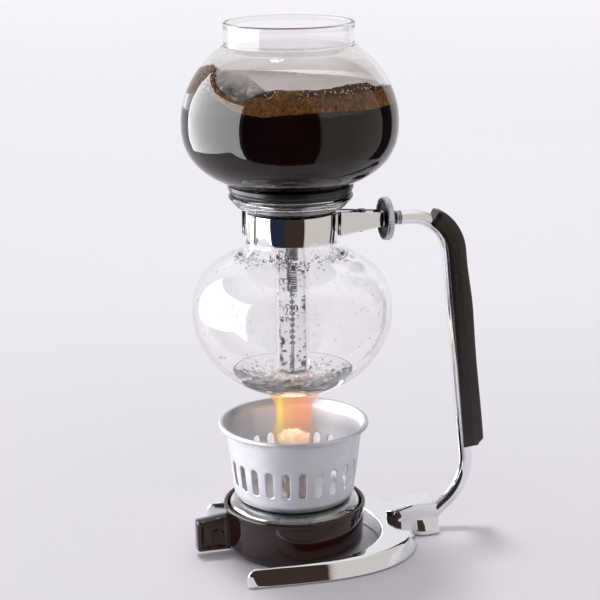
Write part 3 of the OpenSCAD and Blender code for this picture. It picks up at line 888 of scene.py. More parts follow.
def make_jaw(name, node, side, material):
    """Polished strip with softened edges, mirrored to either side."""
    line = jaw_line()
    rings = []
    for i, (x, y) in enumerate(line):
        ahead, behind = line[min(i + 1, len(line) - 1)], line[max(i - 1, 0)]
        tx, ty = ahead[0] - behind[0], ahead[1] - behind[1]
        size = math.hypot(tx, ty)
        nx, ny = -ty / size, tx / size
        top = JAW_Z[1] - 3.75 * smoothstep(20.5, 30.5, x)
        low = JAW_Z[0] + 0.8 * smoothstep(20, 31, x) + 2.6 * smoothstep(30, 49, x)
        tip = smoothstep(-23.3, -22.2, x) if x < -20 else 1.0
        middle = (top + low) / 2
        top, low = (middle + (v - middle) * (0.72 + 0.28 * tip) for v in (top, low))
        half = JAW_T / 2
        section = rounded([(-half, low, 0.2), (half, low, 0.2), (half, top, 0.2), (-half, top, 0.2)], 2)
        rings.append([(x + nx * u, side * (y + ny * u), z) for u, z in section])
    strip = loft(name + "_strip", rings, sharp_deg=50)
    lugs = []
    away = 0.12 if side > 0 else 0.94
    for z in (WHEEL_Z + 2.1 + away, WHEEL_Z - 2.1 - away - 0.7):
        ring = arc((0, 0), 1.75, 180, 360, 14) + [(1.75, 4.5), (-1.75, 4.6)]
        ring = [(HINGE_X + u, side * v) for u, v in ring]
        lugs.append(loft(name + "_lug", [[(u, v, z) for u, v in ring], [(u, v, z + 0.7) for u, v in ring]]))
    piece = join([strip, *lugs], name)
    put(piece, material, "jaw_back" if side > 0 else "jaw_front", node)


def turned(name, outline, segments=96):
    """Round part on the pipe's axis; the outline is (radius, x)."""
    piece = lathe(name, outline, segments)
    piece.data.transform(Matrix.Rotation(math.radians(90), 4, "Y"))
    piece.data.transform(Matrix.Translation((0, 0, WHEEL_Z * MM)))
    return piece


def make_hinge_pin(material):
    """Pin with a domed head, and its peened lower end."""
    low, high = extent("clamp_hinge_pin")
    outline = rounded(
        [(0, low.z), (0.8, low.z, 0.3), (1.0, low.z + 0.4, 0.2), (1.0, 180.8), (2.4, 180.8, 0.2), (2.5, 181.5, 0.3),
         (1.9, high.z - 0.05, 0.5), (0, high.z)], 4)
    pin = lathe("hinge_pin", outline, 48)
    pin.data.transform(Matrix.Translation((HINGE_X * MM, 0, 0)))
    put(pin, material, "stand", "clamp_hinge_pin")


def make_wheel(rim_material, core_material):
    """Knurled chrome rim round a black core with moulded rings on its dished face."""
    low, high = extent("thumb_wheel_rim")
    ridges, steps = 66, 6
    section = rounded([(10.5, low.x, 0.2), (10.95, low.x, 0.3), (11.25, low.x + 0.3, 0.2),
                       (11.25, high.x - 0.3, 0.2), (10.95, high.x, 0.3), (10.5, high.x, 0.2)], 3)
    points, faces, n = [], [], len(section)
    count = ridges * steps
    for i in range(count):
        angle = TURN * i / count
        cut = 0.24 * (0.5 - 0.5 * math.cos(TURN * i / steps))
        for r, x in section:
            rr = r - cut * smoothstep(10.9, 11.2, r)
            points.append((x, rr * math.cos(angle), WHEEL_Z + rr * math.sin(angle)))
    for i in range(count):
        j = (i + 1) % count
        for k in range(n):
            l = (k + 1) % n
            faces.append((i * n + k, i * n + l, j * n + l, j * n + k))
    rim = make_object("wheel_rim", points, faces, 35)
    turn_outwards(rim)
    put(rim, rim_material, "wheel", "thumb_wheel_rim")
    core = turned("wheel_core", rounded(
        [(2.57, 49.9), (4.6, 49.9, 0.4), (5.2, 50.4, 0.3), (6.6, 50.4, 0.3), (6.9, 50.1, 0.15), (7.2, 50.4, 0.15),
         (8.6, 50.3, 0.3), (9.3, 49.35, 0.4), (10.45, 49.2, 0.3), (10.45, 52.1, 0.3), (8.4, 52.1, 0.3),
         (7.6, 51.6, 0.3), (5, 51.6, 0.3), (4.2, 52.35, 0.3), (2.57, 52.35, 0.1)], 4))
    put(core, core_material, "wheel", "thumb_wheel_core")


def make_clamp_screw(material):
    """Threaded rod, the collar where it enters the pipe, and the cone between the jaws' tabs."""
    thread = [(0, 44.2), (2.1, 44.2)]
    for i in range(13):
        x = 44.8 + i * 1.05
        thread += [(2.15, x), (2.48, x + 0.3), (2.48, x + 0.5), (2.15, x + 0.85)]
    thread += [(2.15, 58.7), (0, 58.7)]
    rod = turned("clamp_rod_thread", thread, 48)
    ring = rounded([(-1.8, -2.1, 0.3), (1.8, -2.1, 0.3), (1.8, 2.1, 0.3), (-1.8, 2.1, 0.3)], 3)
    eye = loft("clamp_rod_eye", [[(x, y * scale, WHEEL_Z + z * scale) for y, z in ring]
                                 for x, scale in ((35.8, 0.8), (36.2, 1), (43.6, 1), (44.3, 0.85))])
    rod = join([rod, eye], "clamp_screw")
    put(rod, material, "stand", "clamp_rod")
    collar = turned("pipe_collar", rounded(
        [(2.56, 55.7), (3.3, 55.7, 0.3), (3.7, 56.2, 0.2), (3.7, 56.8, 0.15), (3.2, 56.95), (3.2, 57.15),
         (3.6, 57.3, 0.1), (3.6, 57.8, 0.1), (3.2, 57.95), (3.2, 58.15), (3.7, 58.3, 0.1), (3.7, 58.65, 0.1),
         (2.56, 58.65)], 3), 64)
    put(collar, material, "stand", "pipe_end_collar")
    cone = turned("spreader_cone", rounded(
        [(2.52, 44.5), (2.6, 44.5), (2.9, 48.2, 0.2), (4.2, 49.0, 0.2), (4.2, 49.2, 0.1), (2.52, 49.2)], 3), 64)
    put(cone, material, "spreader", "clamp_cone")


# ---------------------------------------------------------------- lamp

cup_low, cup_high = extent("lamp_cup")
CUP_TOP = cup_high.z


def make_lamp_cup(material):
    outline = rounded(
        [(0, 0.4), (29.5, 0.4, 0.5), (30, 0, 0.4), (32.4, 0, 0.6), (36.3, 4.6, 4.5), (36.9, 22.2),
         (37.0, 23.2, 0.3),
         (37.6, 23.6, 0.4), (37.75, 25.7, 0.8), (37.2, CUP_TOP, 0.5), (36.1, CUP_TOP, 0.5), (35.55, 25.6, 0.5),
         (35.5, 7, 1), (30.8, 2.25, 4), (0, 2.25)], 6)
    cup = lathe("cup_shell", outline, 200)
    piece = join([cup, make_tab()], "brown_cup")
    put(piece, material, "lamp", "lamp_cup")


def tab_section(x):
    """Half width and heights of the thumb tab at a distance along it."""
    end = -cup_low.x
    round_end = math.sqrt(max(0.0, 1 - max(0.0, (x - (end - 1.6)) / 1.6) ** 2))
    top = 22.4 - 1.9 * smoothstep(36, end, x) - 1.5 * (1 - round_end)
    return 4.0 * (0.6 + 0.4 * round_end), 3.3 + 1.2 * (1 - round_end), top


def make_tab():
    """Thumb tab with a recessed panel on each side, an arched thumb pad and softened edges."""
    end = -cup_low.x - 0.15
    columns = list(np.linspace(36.2, end - 2, 34)) + list(np.linspace(end - 1.6, end, 8))
    rings = []
    for x in columns:
        half, low, top = tab_section(x)
        ring = []
        rows = 34
        for i in range(rows + 1):
            z = low + (top - low) * i / rows
            ring.append((x, half * side_depth(x, z, low, top, end), z))
        for i in range(rows, -1, -1):
            z = low + (top - low) * i / rows
            ring.append((x, -half * side_depth(x, z, low, top, end), z))
        rings.append(ring)
    tab = loft("thumb_tab", rings, sharp_deg=60)
    tab.data.transform(Matrix.Rotation(math.pi, 4, "Z"))
    return tab


def side_depth(x, z, low, top, end):
    """Relief of the tab's side faces: 1 on the frame, less in the panel, raised again on the arched pad."""
    edge = min(1.0, math.sqrt(max(0.02, 1 - (1 - min(1, min(z - low, top - z) / 0.9)) ** 2)))
    inside = min(smoothstep(0, 0.7, v) for v in (x - 38.6, end - 2.2 - x, z - low - 2.2, top - 2.2 - z))
    pad_x, pad_z = x - 43.4, z - 11.2
    distance = math.hypot(pad_x, max(pad_z, 0)) - 3.9
    ring = smoothstep(0.7, 0.2, abs(distance + 0.6)) * (1 if z > low + 2.2 else 0)
    return edge * (1 - 0.22 * inside + 0.09 * inside * ring)


def make_reservoir(material):
    """Squat glass fuel bottle with a rounded shoulder."""
    outline = rounded(
        [(0, 2.35), (30.6, 2.35, 4.5), (35.2, 6.8, 4), (35.2, 23.4, 3), (34.2, 27.2, 3), (30.4, 29.3, 4),
         (24.6, 28.9, 6), (19.2, 26.6, 6), (13.6, 25.0, 2), (12.6, 25.4, 0.5), (12.6, 27.2, 0.4), (10.9, 27.2, 0.4),
         (10.9, 23.2, 1.5), (15.8, 23.2, 4), (21.6, 25.2, 6), (26.0, 26.8, 6), (30.0, 27.2, 3), (33.2, 25.0, 3),
         (33.2, 8, 3), (29.6, 4.2, 4), (0, 4.2)], 6)
    piece = lathe("fuel_bottle", outline, 200)
    put(piece, material, "lamp", "lamp_reservoir")


def make_holder(material):
    """Spun cap on the bottle's neck with the wick sleeve through it."""
    outline = rounded(
        [(8.15, 21), (8.95, 21, 0.2), (8.95, 28.2, 0.3), (12.75, 28.2, 0.3), (12.75, 25.5, 0.1),
         (14.35, 25.35, 0.3),
         (14.35, 28.4, 0.8), (13.2, 29.15, 0.8), (9.3, 29.15, 0.5), (8.95, 30.2, 0.3), (8.95, 44.6, 0.2),
         (9.0, 45.2, 0.2), (8.95, 45.8, 0.2), (8.95, 55.2, 0.4), (8.6, 55.95, 0.2), (8.15, 55.95, 0.1)], 5)
    piece = lathe("wick_sleeve", outline, 128)
    put(piece, material, "lamp", "wick_holder")


def make_wick(material):
    """Braided cord whose top is frayed into tufts."""

    def fray(r, z, angle):
        x, y = math.cos(angle), math.sin(angle)
        braid = 0.16 * math.sin(18 * angle + z * 0.9) * math.sin(18 * angle - z * 0.9)
        if z < 56.5:
            return max(0.05, r - 0.22 + braid * (r > 7)), z
        top = smoothstep(56.5, 60, z)
        wild = fractal((r * x, r * y, z), 3.2, 4, 3.0)
        return max(0.05, r * (1 - 0.08 * top + 0.16 * wild * top)), z + 1.7 * wild * top

    outline = [(0, 6)] + [(7.9, 6.4 + 0.8 * i) for i in range(62)] + [(8.2, 56.2), (8.6, 56.9)]
    outline += [(8.4 * math.cos(a), 58.4 + 6.4 * math.sin(a)) for a in np.linspace(0.05, 1.45, 26)] + [(0, 65.2)]
    core = lathe("wick_core", outline, 140, fray)
    strands = [core]
    tufts = random.Random(11)
    for i in range(90):
        angle, radius = tufts.uniform(0, TURN), 8.0 * math.sqrt(tufts.uniform(0.02, 1))
        dome = 58.2 + 5 * math.sqrt(max(0, 1 - (radius / 9) ** 2))
        root = Vector((radius * math.cos(angle), radius * math.sin(angle), dome))
        lean = Vector((math.cos(angle) * radius / 9, math.sin(angle) * radius / 9, 0.9)).normalized()
        bend = Vector((tufts.uniform(-1, 1), tufts.uniform(-1, 1), tufts.uniform(-0.5, 0.6)))
        size = tufts.uniform(1.2, 3.0)
        path = [root + lean * size * t + bend * 0.9 * t * t for t in np.linspace(0, 1, 6)]
        path = [p if math.hypot(p.x, p.y) < 8.7 else Vector((p.x * 0.93, p.y * 0.93, p.z)) for p in path]
        path = [Vector((p.x, p.y, min(p.z, 66.4))) for p in path]
        strands.append(tube("strand", path, tufts.uniform(0.14, 0.3), 6, scale=lambda i: 1.0 - 0.14 * i))
    piece = join(strands, "cotton_wick")
    put(piece, material, "wick", "wick")


def shield_wall():
    """Outer wall of the wind shield above its bottom corner, as (radius, height) against height."""
    return [(32.1, 36.9), (33.2, 44), (34.05, 52), (35.0, 60), (35.9, 66.6), (36.8, 69.0)]


def make_shield(material):
    """Spun aluminium cup with 24 round-ended slots and a rolled rim."""
    slots, half_slot, edge = 24, 2.0, 0.22
    wall = 1.0
    z_low, z_high = 38.5, 53.0
    heights = [p[1] for p in shield_wall()]
    radii = [p[0] for p in shield_wall()]

    def outer_radius(z):
        return float(np.interp(z, heights, radii))

    # one sector: a ring of quads from the slot's edge out to the sector's border
    cap = 10
    straight = 8
    low_c, high_c = z_low + half_slot, z_high - half_slot
    hole = arc((0, low_c), half_slot, 180, 360, cap * 2)
    hole += [(half_slot, z) for z in np.linspace(low_c, high_c, straight + 1)[1:-1]]
    hole += arc((0, high_c), half_slot, 0, 180, cap * 2)
    hole += [(-half_slot, z) for z in np.linspace(high_c, low_c, straight + 1)[1:-1]]
    pitch = TURN / slots
    border_low, border_high = z_low - 1.1, z_high + 1.1
    border = []
    for u, z in hole:
        across = u / half_slot if abs(u) < half_slot - 1e-6 else math.copysign(1, u)
        if z <= low_c:
            border.append((across, border_low))
        elif z >= high_c:
            border.append((across, border_high))
        else:
            f = (z - low_c) / (high_c - low_c)
            border.append((math.copysign(1, u), border_low + f * (border_high - border_low)))
    n = len(hole)
    points, faces, index = [], [], {}

    def vertex(r, angle, z):
        key = (round(r * math.cos(angle), 4), round(r * math.sin(angle), 4), round(z, 4))
        if key not in index:
            index[key] = len(points)
            points.append(key)
        return index[key]

    for s in range(slots):
        middle = pitch * (s + 0.5)
        for side, shift_wall in ((1, 0.0), (-1, wall)):
            loops = []
            for blend_t in (0.0, 0.35, 1.0):
                row = []
                for (u, z), (bu, bz) in zip(hole, border):
                    radius = outer_radius(z)
                    a0 = u * (1 + edge / half_slot) / radius
                    z0 = (low_c + high_c) / 2 + (z - (low_c + high_c) / 2) * 1.03
                    a1, z1 = bu * pitch / 2, bz
                    z_here = z0 + (z1 - z0) * blend_t
                    row.append(vertex(outer_radius(z_here) - shift_wall, middle + a0 + (a1 - a0) * blend_t, z_here))
                loops.append(row)
            inset = shift_wall + edge * side
            lip = [vertex(outer_radius(z) - inset, middle + u / outer_radius(z), z) for u, z in hole]
            loops.insert(0, lip)
            for a, b in zip(loops, loops[1:]):
                for k in range(n):
                    l = (k + 1) % n
                    quad = (a[k], a[l], b[l], b[k]) if side < 0 else (a[k], b[k], b[l], a[l])
                    if len(set(quad)) > 2:
                        faces.append(tuple(dict.fromkeys(quad)))
            if side > 0:
                outer_lip = lip
            else:
                for k in range(n):
                    l = (k + 1) % n
                    faces.append((outer_lip[k], outer_lip[l], lip[l], lip[k]))
    band = [(bu, bz) for bu, bz in border if bz == border_low]
    columns = sorted({bu for bu, _ in band})
    angles = [pitch * (s + 0.5) + bu * pitch / 2 for s in range(slots) for bu in columns[:-1]]
    # lower and upper parts, lathed on the same columns
    floor = rounded([(9.75, 29.35, 0.2), (22.4, 29.35, 0), (31.7, 29.6, 8.2), (32.1, 36.9)], 12, closed=False)
    floor_in = rounded([(9.75, 30.3, 0.2), (22.4, 30.3, 0), (30.7, 30.6, 7.4), (31.1, 36.9)], 12, closed=False)
    rim = arc((38.3, 70.0), 1.25, -150, 165, 22)
    upper_out = [(outer_radius(z), z) for z in np.linspace(border_high, 69.0, 12)]
    upper_in = [(outer_radius(z) - wall, z) for z in np.linspace(border_high, 68.7, 12)]
    lower_out = floor + [(outer_radius(border_low), border_low)]
    lower_in = floor_in + [(outer_radius(border_low) - wall, border_low)]

    def skin(profile):
        rows = [[vertex(r, a, z) for a in angles] for r, z in profile]
        for a, b in zip(rows, rows[1:]):
            for k in range(len(angles)):
                l = (k + 1) % len(angles)
                faces.append((a[k], a[l], b[l], b[k]))

    skin(lower_in[::-1] + lower_out)
    skin(upper_out + rim + upper_in[::-1])
    piece = make_object("slotted_shield", points, faces, 50)
    weld(piece)
    put(piece, material, "shield", "wind_shield")


# ---------------------------------------------------------------- what is in the glass

COFFEE_AZIMUTHS = [-180, -169, -156, -146, -136, -128, -119, -109, -88, -60, -35, -15, 60, 120, 150, 180]
COFFEE_LEVELS = [247, 250, 250, 247, 243.3, 242.2, 241.2, 242.4, 243.2, 242.2, 241.8, 241, 241, 243, 245.5, 247]
FOAM_AZIMUTHS = [-180, -170, -163, -152, -145, -135, -129, -120, -113, -90, -66, -52, -46, -30, -15, 60, 120, 160,
                 173, 180]
FOAM_LEVELS = [259.0, 260.0, 259.4, 252.2, 249.4, 246.6, 247.6, 251.0, 252.0, 251.6, 252.8, 252.6, 249.8, 248.6,
               247.2, 247.5, 252, 256, 257.6, 259.0]


def level(azimuth, angles, heights):
    return float(np.interp((azimuth + 180) % 360 - 180, angles, heights))


def make_coffee(material):
    """Brewing coffee that touches the glass from the floor up to its uneven edge."""
    segments = 220

    def surface(r, z, angle):
        if z < 240:
            return r, z
        azimuth = math.degrees(angle)
        top = level(azimuth, COFFEE_AZIMUTHS, COFFEE_LEVELS)
        top += 0.45 * fractal((50 * math.cos(angle), 50 * math.sin(angle), 0), 6, 4)
        inner = 244 + (top - 244) * smoothstep(20, 50, r)
        if r > 50:
            r = bowl_radius(top) + 0.06
        return r, inner

    outline = [(0, FLOOR_Z - 0.04), (28.5, FLOOR_Z - 0.04)]
    outline += [(bowl_radius(z) + 0.06, z) for z in np.linspace(199.4, 238, 44)]
    outline += [(52, 244), (48, 244), (40, 244), (28, 244), (14, 244), (0, 239)]
    piece = lathe("coffee", outline, segments, surface, 60)
    put(piece, material, "bowl")


def foam_top(x, y):
    """Height of the froth's upper surface."""
    r = math.hypot(x, y)
    azimuth = math.degrees(math.atan2(y, x))
    edge = level(azimuth, FOAM_AZIMUTHS, FOAM_LEVELS)
    middle = 249.4 + 1.3 * fractal((x, y, 0), 26, 2, 5.0)
    share = smoothstep(22, 49, r)
    lumps = 0.9 * fractal((x, y, 0), 8, 4, 1.5) + 0.3 * fractal((x, y, 0), 2.2, 3, 8.0)
    return middle + (edge - middle) * share + lumps * (1 - 0.7 * smoothstep(44, 50, r))


def make_foam(material):
    """Froth on the coffee: a lumpy raft that climbs the wall on the left."""
    segments, rings, rows = 360, 70, 14
    points, faces = [], []
    for i in range(rings + 1):
        share = 0.025 + 0.975 * i / rings
        for k in range(segments):
            angle = TURN * k / segments
            edge = level(math.degrees(angle), FOAM_AZIMUTHS, FOAM_LEVELS)
            edge += 0.35 * fractal((50 * math.cos(angle), 50 * math.sin(angle), 3), 3, 4)
            r = share * (bowl_radius(edge) + 0.05)
            x, y = r * math.cos(angle), r * math.sin(angle)
            z = foam_top(x, y)
            z += (edge - z) * smoothstep(0.9, 1.0, share)
            points.append((x, y, z))
    for i in range(rings):
        for k in range(segments):
            l = (k + 1) % segments
            faces.append((i * segments + k, (i + 1) * segments + k, (i + 1) * segments + l, i * segments + l))
    faces.append(tuple(range(segments))[::-1])
    last = rings * segments
    for j in range(1, rows + 1):
        for k in range(segments):
            angle = TURN * k / segments
            top = points[last + k][2]
            low = level(math.degrees(angle), COFFEE_AZIMUTHS, COFFEE_LEVELS) - 1.5
            z = top + (low - top) * j / rows
            r = bowl_radius(z) + 0.07
            points.append(wall_spot(r, z, angle))
        for k in range(segments):
            l = (k + 1) % segments
            a, b = last + (j - 1) * segments, last + j * segments
            faces.append((a + k, b + k, b + l, a + l))
    bottom = last + rows * segments
    points.append((0, 0, 241.0))
    faces += [(bottom + (k + 1) % segments, bottom + k, len(points) - 1) for k in range(segments)]
    piece = make_object("froth", points, faces, 70)
    weld(piece)
    put(piece, material, "bowl")


def make_splash(material):
    """Wet film thrown up on the glass at the left, over a thin patch of froth."""
    columns, rows = 60, 26
    grids = []
    for depth in (0.1, 0.9):
        grid = []
        for j in range(rows + 1):
            for i in range(columns + 1):
                azimuth = -163 + 45 * i / columns
                top = float(np.interp(azimuth, [-163, -158, -150, -143, -136, -129, -122, -118],
                                      [252.5, 256.0, 258.6, 257.4, 258.2, 256.4, 253.0, 251.2]))
                low = float(np.interp(azimuth, [-163, -154, -146, -136, -128, -118],
                                      [252, 250.6, 248.6, 246.8, 247.6, 250.8]))
                z = low + (top - low) * j / rows
                swell = min(1.0, 4 * i / columns, 4 * (1 - i / columns), 4 * j / rows + 0.02,
                            4 * (1 - j / rows) + 0.02)
                bump = 0.5 * (1 + fractal((azimuth * 0.9, z, 0), 5, 4, 2.0))
                r = bowl_radius(z) - (0.02 if depth < 0.5 else 0.12 + 1.3 * bump * swell)
                angle = math.radians(azimuth)
                grid.append(wall_spot(r, z, angle))
        grids.append(grid)
    points = grids[0] + grids[1]
    inner = len(grids[0])
    faces, width = [], columns + 1
    for j in range(rows):
        for i in range(columns):
            a = j * width + i
            faces.append((a, a + 1, a + 1 + width, a + width))
            faces.append((inner + a, inner + a + width, inner + a + 1 + width, inner + a + 1))
    rim = list(range(width)) + [j * width + columns for j in range(1, rows + 1)]
    rim += [rows * width + i for i in range(columns - 1, -1, -1)] + [j * width for j in range(rows - 1, 0, -1)]
    for a, b in zip(rim, rim[1:] + rim[:1]):
        faces.append((a, inner + a, inner + b, b))
    piece = make_object("splash_film", points, faces, 70)
    weld(piece)
    put(piece, material, "bowl")


def make_froth_bubbles(material):
    """Larger bubbles that stand on the froth along the glass and across its top."""
    grains = random.Random(21)
    balls = []
    for _ in range(170):
        angle = math.radians(grains.uniform(-128, -38))
        size = grains.uniform(0.35, 1.1)
        r = bowl_radius(253) - size - grains.uniform(0.1, 4.5)
        x, y = r * math.cos(angle), r * math.sin(angle)
        balls.append(((x, y, foam_top(x, y) + size * 0.1), size, 0.8))
    for _ in range(520):
        angle = grains.uniform(0, TURN)
        size = grains.uniform(0.25, 0.9)
        r = 44 * math.sqrt(grains.uniform(0.0, 1.0))
        x, y = r * math.cos(angle), r * math.sin(angle)
        balls.append(((x, y, foam_top(x, y) + size * 0.05), size, 0.75))
    piece = blobs("froth_bubbles", balls)
    put(piece, material, "bowl")


def make_fog(material):
    """Thin film of condensed steam on the bulb's inner wall above the froth."""
    segments, points = 200, []
    heights = np.linspace(250, 266.5, 26)
    for depth in (0.12, 0.2):
        for z in heights:
            for k in range(segments):
                points.append(wall_spot(bowl_radius(z) - depth, z, TURN * k / segments))
    rows = len(heights)
    inner = rows * segments
    faces = grid_faces(rows, segments) + grid_faces(rows, segments, inner, True)
    for k in range(segments):
        l = (k + 1) % segments
        top = (rows - 1) * segments
        faces.append((k, inner + k, inner + l, l))
        faces.append((top + l, inner + top + l, inner + top + k, top + k))
    piece = make_object("steam_film", points, faces, 60)
    put(piece, material, "bowl")


def fog_material():
    """Greyish haze that thins towards the neck, with a painted glow."""
    # Painted light: the film's emission stands in for light shining through it.
    made = Surface("steam_film", (0.9, 0.84, 0.82), 0.6, Emission_Color=(0.9, 0.84, 0.83, 1),
                   Emission_Strength=0.22)
    thick = made.ramp(made.along("Z", 0.250, 0.2665), [(0.0, 0.6), (0.35, 0.42), (0.7, 0.16), (1.0, 0.03)])
    patchy = made.ramp(made.noise(16, 4.0), [(0.3, 0.75), (0.75, 1.0)])
    made.wire(made.product(thick, patchy), made.shader.inputs["Alpha"])
    made.vary("Roughness", made.noise(1.2, 3.0), [(0.3, 0.45), (0.7, 0.75)])
    return made.material


def make_boil(material):
    """The last of the water, boiling over the flask's bottom."""

    def chop(r, z, angle):
        if z < 96.5:
            return r, z
        x, y = r * math.cos(angle), r * math.sin(angle)
        return r, z + 1.1 * fractal((x, y, 0), 4.0, 4, 2.0) * smoothstep(31.5, 26, r)

    top = 98.5
    depths = np.linspace(FLASK_BOTTOM + GLASS_T + 0.02, top, 26)
    outline = [(0, FLASK_BOTTOM + GLASS_T - 0.05)] + [(flask_radius(z) + 0.05, z - 0.03) for z in depths[1:]]
    edge = outline[-1][0]
    outline += [(r, top) for r in np.linspace(edge - 0.6, 0.8, 60)] + [(0, top)]
    pool = lathe("boiling_water", outline, 220, chop, 180)
    put(pool, material, "stand")


def make_bubbles(material):
    """Steam bubbles in the pool and beads of water on the flask's wall."""
    grains = random.Random(5)
    balls = []
    for i in range(420):
        angle = grains.uniform(0, TURN)
        z = grains.uniform(FLASK_BOTTOM + 2.6, 102)
        room = flask_radius(z) - 1.1
        r = room * math.sqrt(grains.uniform(0.05, 1))
        size = grains.uniform(0.25, 1.0) * (0.7 if z > 97 else 1)
        if r > 14 or z < 92:
            balls.append((wall_spot(r, z, angle), size, 1.0))
    piece = blobs("boiling_bubbles", balls)
    put(piece, material, "stand")
    drops = []
    for i in range(340):
        angle = grains.uniform(0, TURN)
        z = 162.6 - abs(grains.gauss(0, 1.6)) + 0.8 * math.sin(5 * angle)
        r = flask_radius(z)
        drops.append((wall_spot(r, z, angle), grains.uniform(0.3, 1.0), 0.9))
    for i in range(150):
        angle, z = grains.uniform(0, TURN), grains.uniform(104, 160)
        drops.append((wall_spot(flask_radius(z), z, angle), grains.uniform(0.2, 0.6), 1.3))
    piece = blobs("flask_droplets", drops)
    put(piece, material, "stand")


def make_stem_water(material, bubble_material):
    """Water driven up the stem, broken by steam bubbles."""
    grains = random.Random(9)

    def ragged(r, z, angle):
        if r < 1:
            return r, z
        wave = fractal((r * math.cos(angle), r * math.sin(angle), z * 0.5), 6, 2, 4.0)
        return r - 0.1 - 0.5 * max(0.0, wave), z

    wall = [(STEM_BORE_R - 0.05, z) for z in np.linspace(STEM_END_Z + 1.2, 189.5, 120)]
    outline = [(0, STEM_END_Z + 1), *wall, (0, 189.7)]
    column = lathe("stem_water", outline, 64, ragged, 180)
    put(column, material, "bowl")
    balls = []
    for _ in range(110):
        angle, z = grains.uniform(0, TURN), grains.uniform(STEM_END_Z + 3, 188)
        size = grains.uniform(0.35, 1.3)
        r = grains.uniform(3.4 + size, STEM_BORE_R - 0.9 - size * 0.5)
        balls.append((wall_spot(r, z, angle), size, grains.uniform(1.0, 1.8)))
    piece = blobs("stem_bubbles", balls)
    put(piece, bubble_material, "bowl")


def make_flame(material):
    """Flame from the wick to just under the flask: a waist half-way up, then spread by the glass."""
    heights = np.linspace(58.5, FLASK_BOTTOM - 0.6, 70)
    profile = []
    for z in heights:
        r = 9.3 + 2.9 * smoothstep(72, 60, z) + 4.4 * smoothstep(77.5, 87, z) ** 1.4
        r -= 1.6 * smoothstep(60.5, 58.5, z)
        profile.append((r, z))

    def lick(r, z, angle):
        wave = fractal((6 * math.cos(angle), 6 * math.sin(angle), z * 0.35), 8, 2, 6.0)
        return r * (1 + 0.07 * wave), z

    outline = [(0, heights[0])] + profile + [(0, heights[-1])]
    piece = lathe("flame", outline, 120, lick, 180)
    put(piece, material, "lamp")


def flame_material():
    """Glowing gas: a yellow streak down one side of the peach, faint just above the wick."""
    made = Surface("flame", (0, 0, 0), 1.0, Specular_IOR_Level=0.0)
    sideways = made.along("X", -0.011, 0.0125, CAMERA_TURN)
    colour = made.ramp(sideways, [(0.0, (1.0, 0.40, 0.15)), (0.17, (1.0, 0.74, 0.2)), (0.3, (1.0, 0.47, 0.19)),
                                  (0.6, (1.0, 0.38, 0.18)), (1.0, (0.95, 0.36, 0.24))])
    made.wire(colour, made.shader.inputs["Emission Color"])
    made.set("Emission Strength", 1.0)
    by_height = made.ramp(made.along("Z", 0.0585, 0.0865), [(0.0, 0.14), (0.3, 0.36), (0.6, 0.68), (1.0, 0.55)])
    by_side = made.ramp(sideways, [(0.0, 0.7), (0.17, 1.0), (0.35, 0.85), (0.75, 0.75), (1.0, 0.45)])
    made.wire(made.product(by_height, by_side), made.shader.inputs["Alpha"])
    return made.material


# ---------------------------------------------------------------- stage, light and camera

CAMERA_TURN = math.radians(15)
RIGHT = Vector((math.cos(CAMERA_TURN), -math.sin(CAMERA_TURN), 0))
AWAY = Vector((math.sin(CAMERA_TURN), math.cos(CAMERA_TURN), 0))


def staged(x, y, z):
    """Point given as metres to the right of, away from and above the middle of the scene."""
    return RIGHT * x + AWAY * y + Vector((0, 0, z))


def stage_mesh(name, points, faces, material):
    mesh = bpy.data.meshes.new(name)
    mesh.from_pydata([tuple(p) for p in points], [], faces)
    mesh.materials.append(material)
    piece = bpy.data.objects.new(name, mesh)
    bpy.context.scene.collection.objects.link(piece)
    return piece


def make_floor(material):
    """Near floor that the metal mirrors, and the far floor that only the eye and the glass see."""
    x0, x1, y0, y1, far = -0.45, 0.3, -0.2, 1.0, 14.0
    corners = [(x0, y0), (x1, y0), (x1, y1), (x0, y1)]
    stage_mesh("floor_near", [staged(x, y, 0) for x, y in corners], [(0, 1, 2, 3)], material)
    outer = [(-far, -far), (far, -far), (far, far), (-far, far)]
    points = [staged(x, y, 0) for x, y in corners + outer]
    floor = stage_mesh("floor_far", points, [(4, 5, 1, 0), (5, 6, 2, 1), (6, 7, 3, 2), (7, 4, 0, 3)], material)
    floor.visible_glossy = False


def floor_material():
    """Seamless paper, with painted shade that greys it towards the camera."""
    made = Surface("floor", (0.86, 0.855, 0.875), 0.6, Specular_IOR_Level=0.2)
    # Painted shade: the paper's colour darkens towards the camera in place of the light falling off.
    tone = made.ramp(made.along("Y", -0.2, 2.8, CAMERA_TURN), [
        (0.0, (0.80, 0.765, 0.815)), (0.09, (0.835, 0.80, 0.85)), (0.25, (0.915, 0.885, 0.935)),
        (1.0, (0.955, 0.93, 0.965))], "LINEAR")
    grain = made.ramp(made.noise(900, 2.0), [(0.3, 0.985), (0.7, 1.0)])
    made.wire(made.mix(tone, grain, 1.0, "MULTIPLY"), made.shader.inputs["Base Color"])
    return made.material


def card(name, start, end, distance, low, high, colour, strength):
    """Upright curved reflection card between two bearings (degrees right of the camera) at one distance."""
    points, faces, steps = [], [], 18
    for k in range(steps + 1):
        bearing = math.radians(start + (end - start) * k / steps)
        for z in (low, high):
            points.append(staged(distance * math.sin(bearing), -distance * math.cos(bearing), z))
    for k in range(steps):
        faces.append((2 * k, 2 * k + 2, 2 * k + 3, 2 * k + 1))
    material = bpy.data.materials.new(name)
    material.use_nodes = True
    tree = material.node_tree
    tree.nodes.clear()
    output = tree.nodes.new("ShaderNodeOutputMaterial")
    emission = tree.nodes.new("ShaderNodeEmission")
    emission.inputs["Color"].default_value = (*colour, 1)
    emission.inputs["Strength"].default_value = strength
    tree.links.new(emission.outputs[0], output.inputs["Surface"])
    piece = stage_mesh(name, points, faces, material)
    for ray in ("camera", "diffuse", "transmission", "volume_scatter", "shadow"):
        setattr(piece, "visible_" + ray, False)


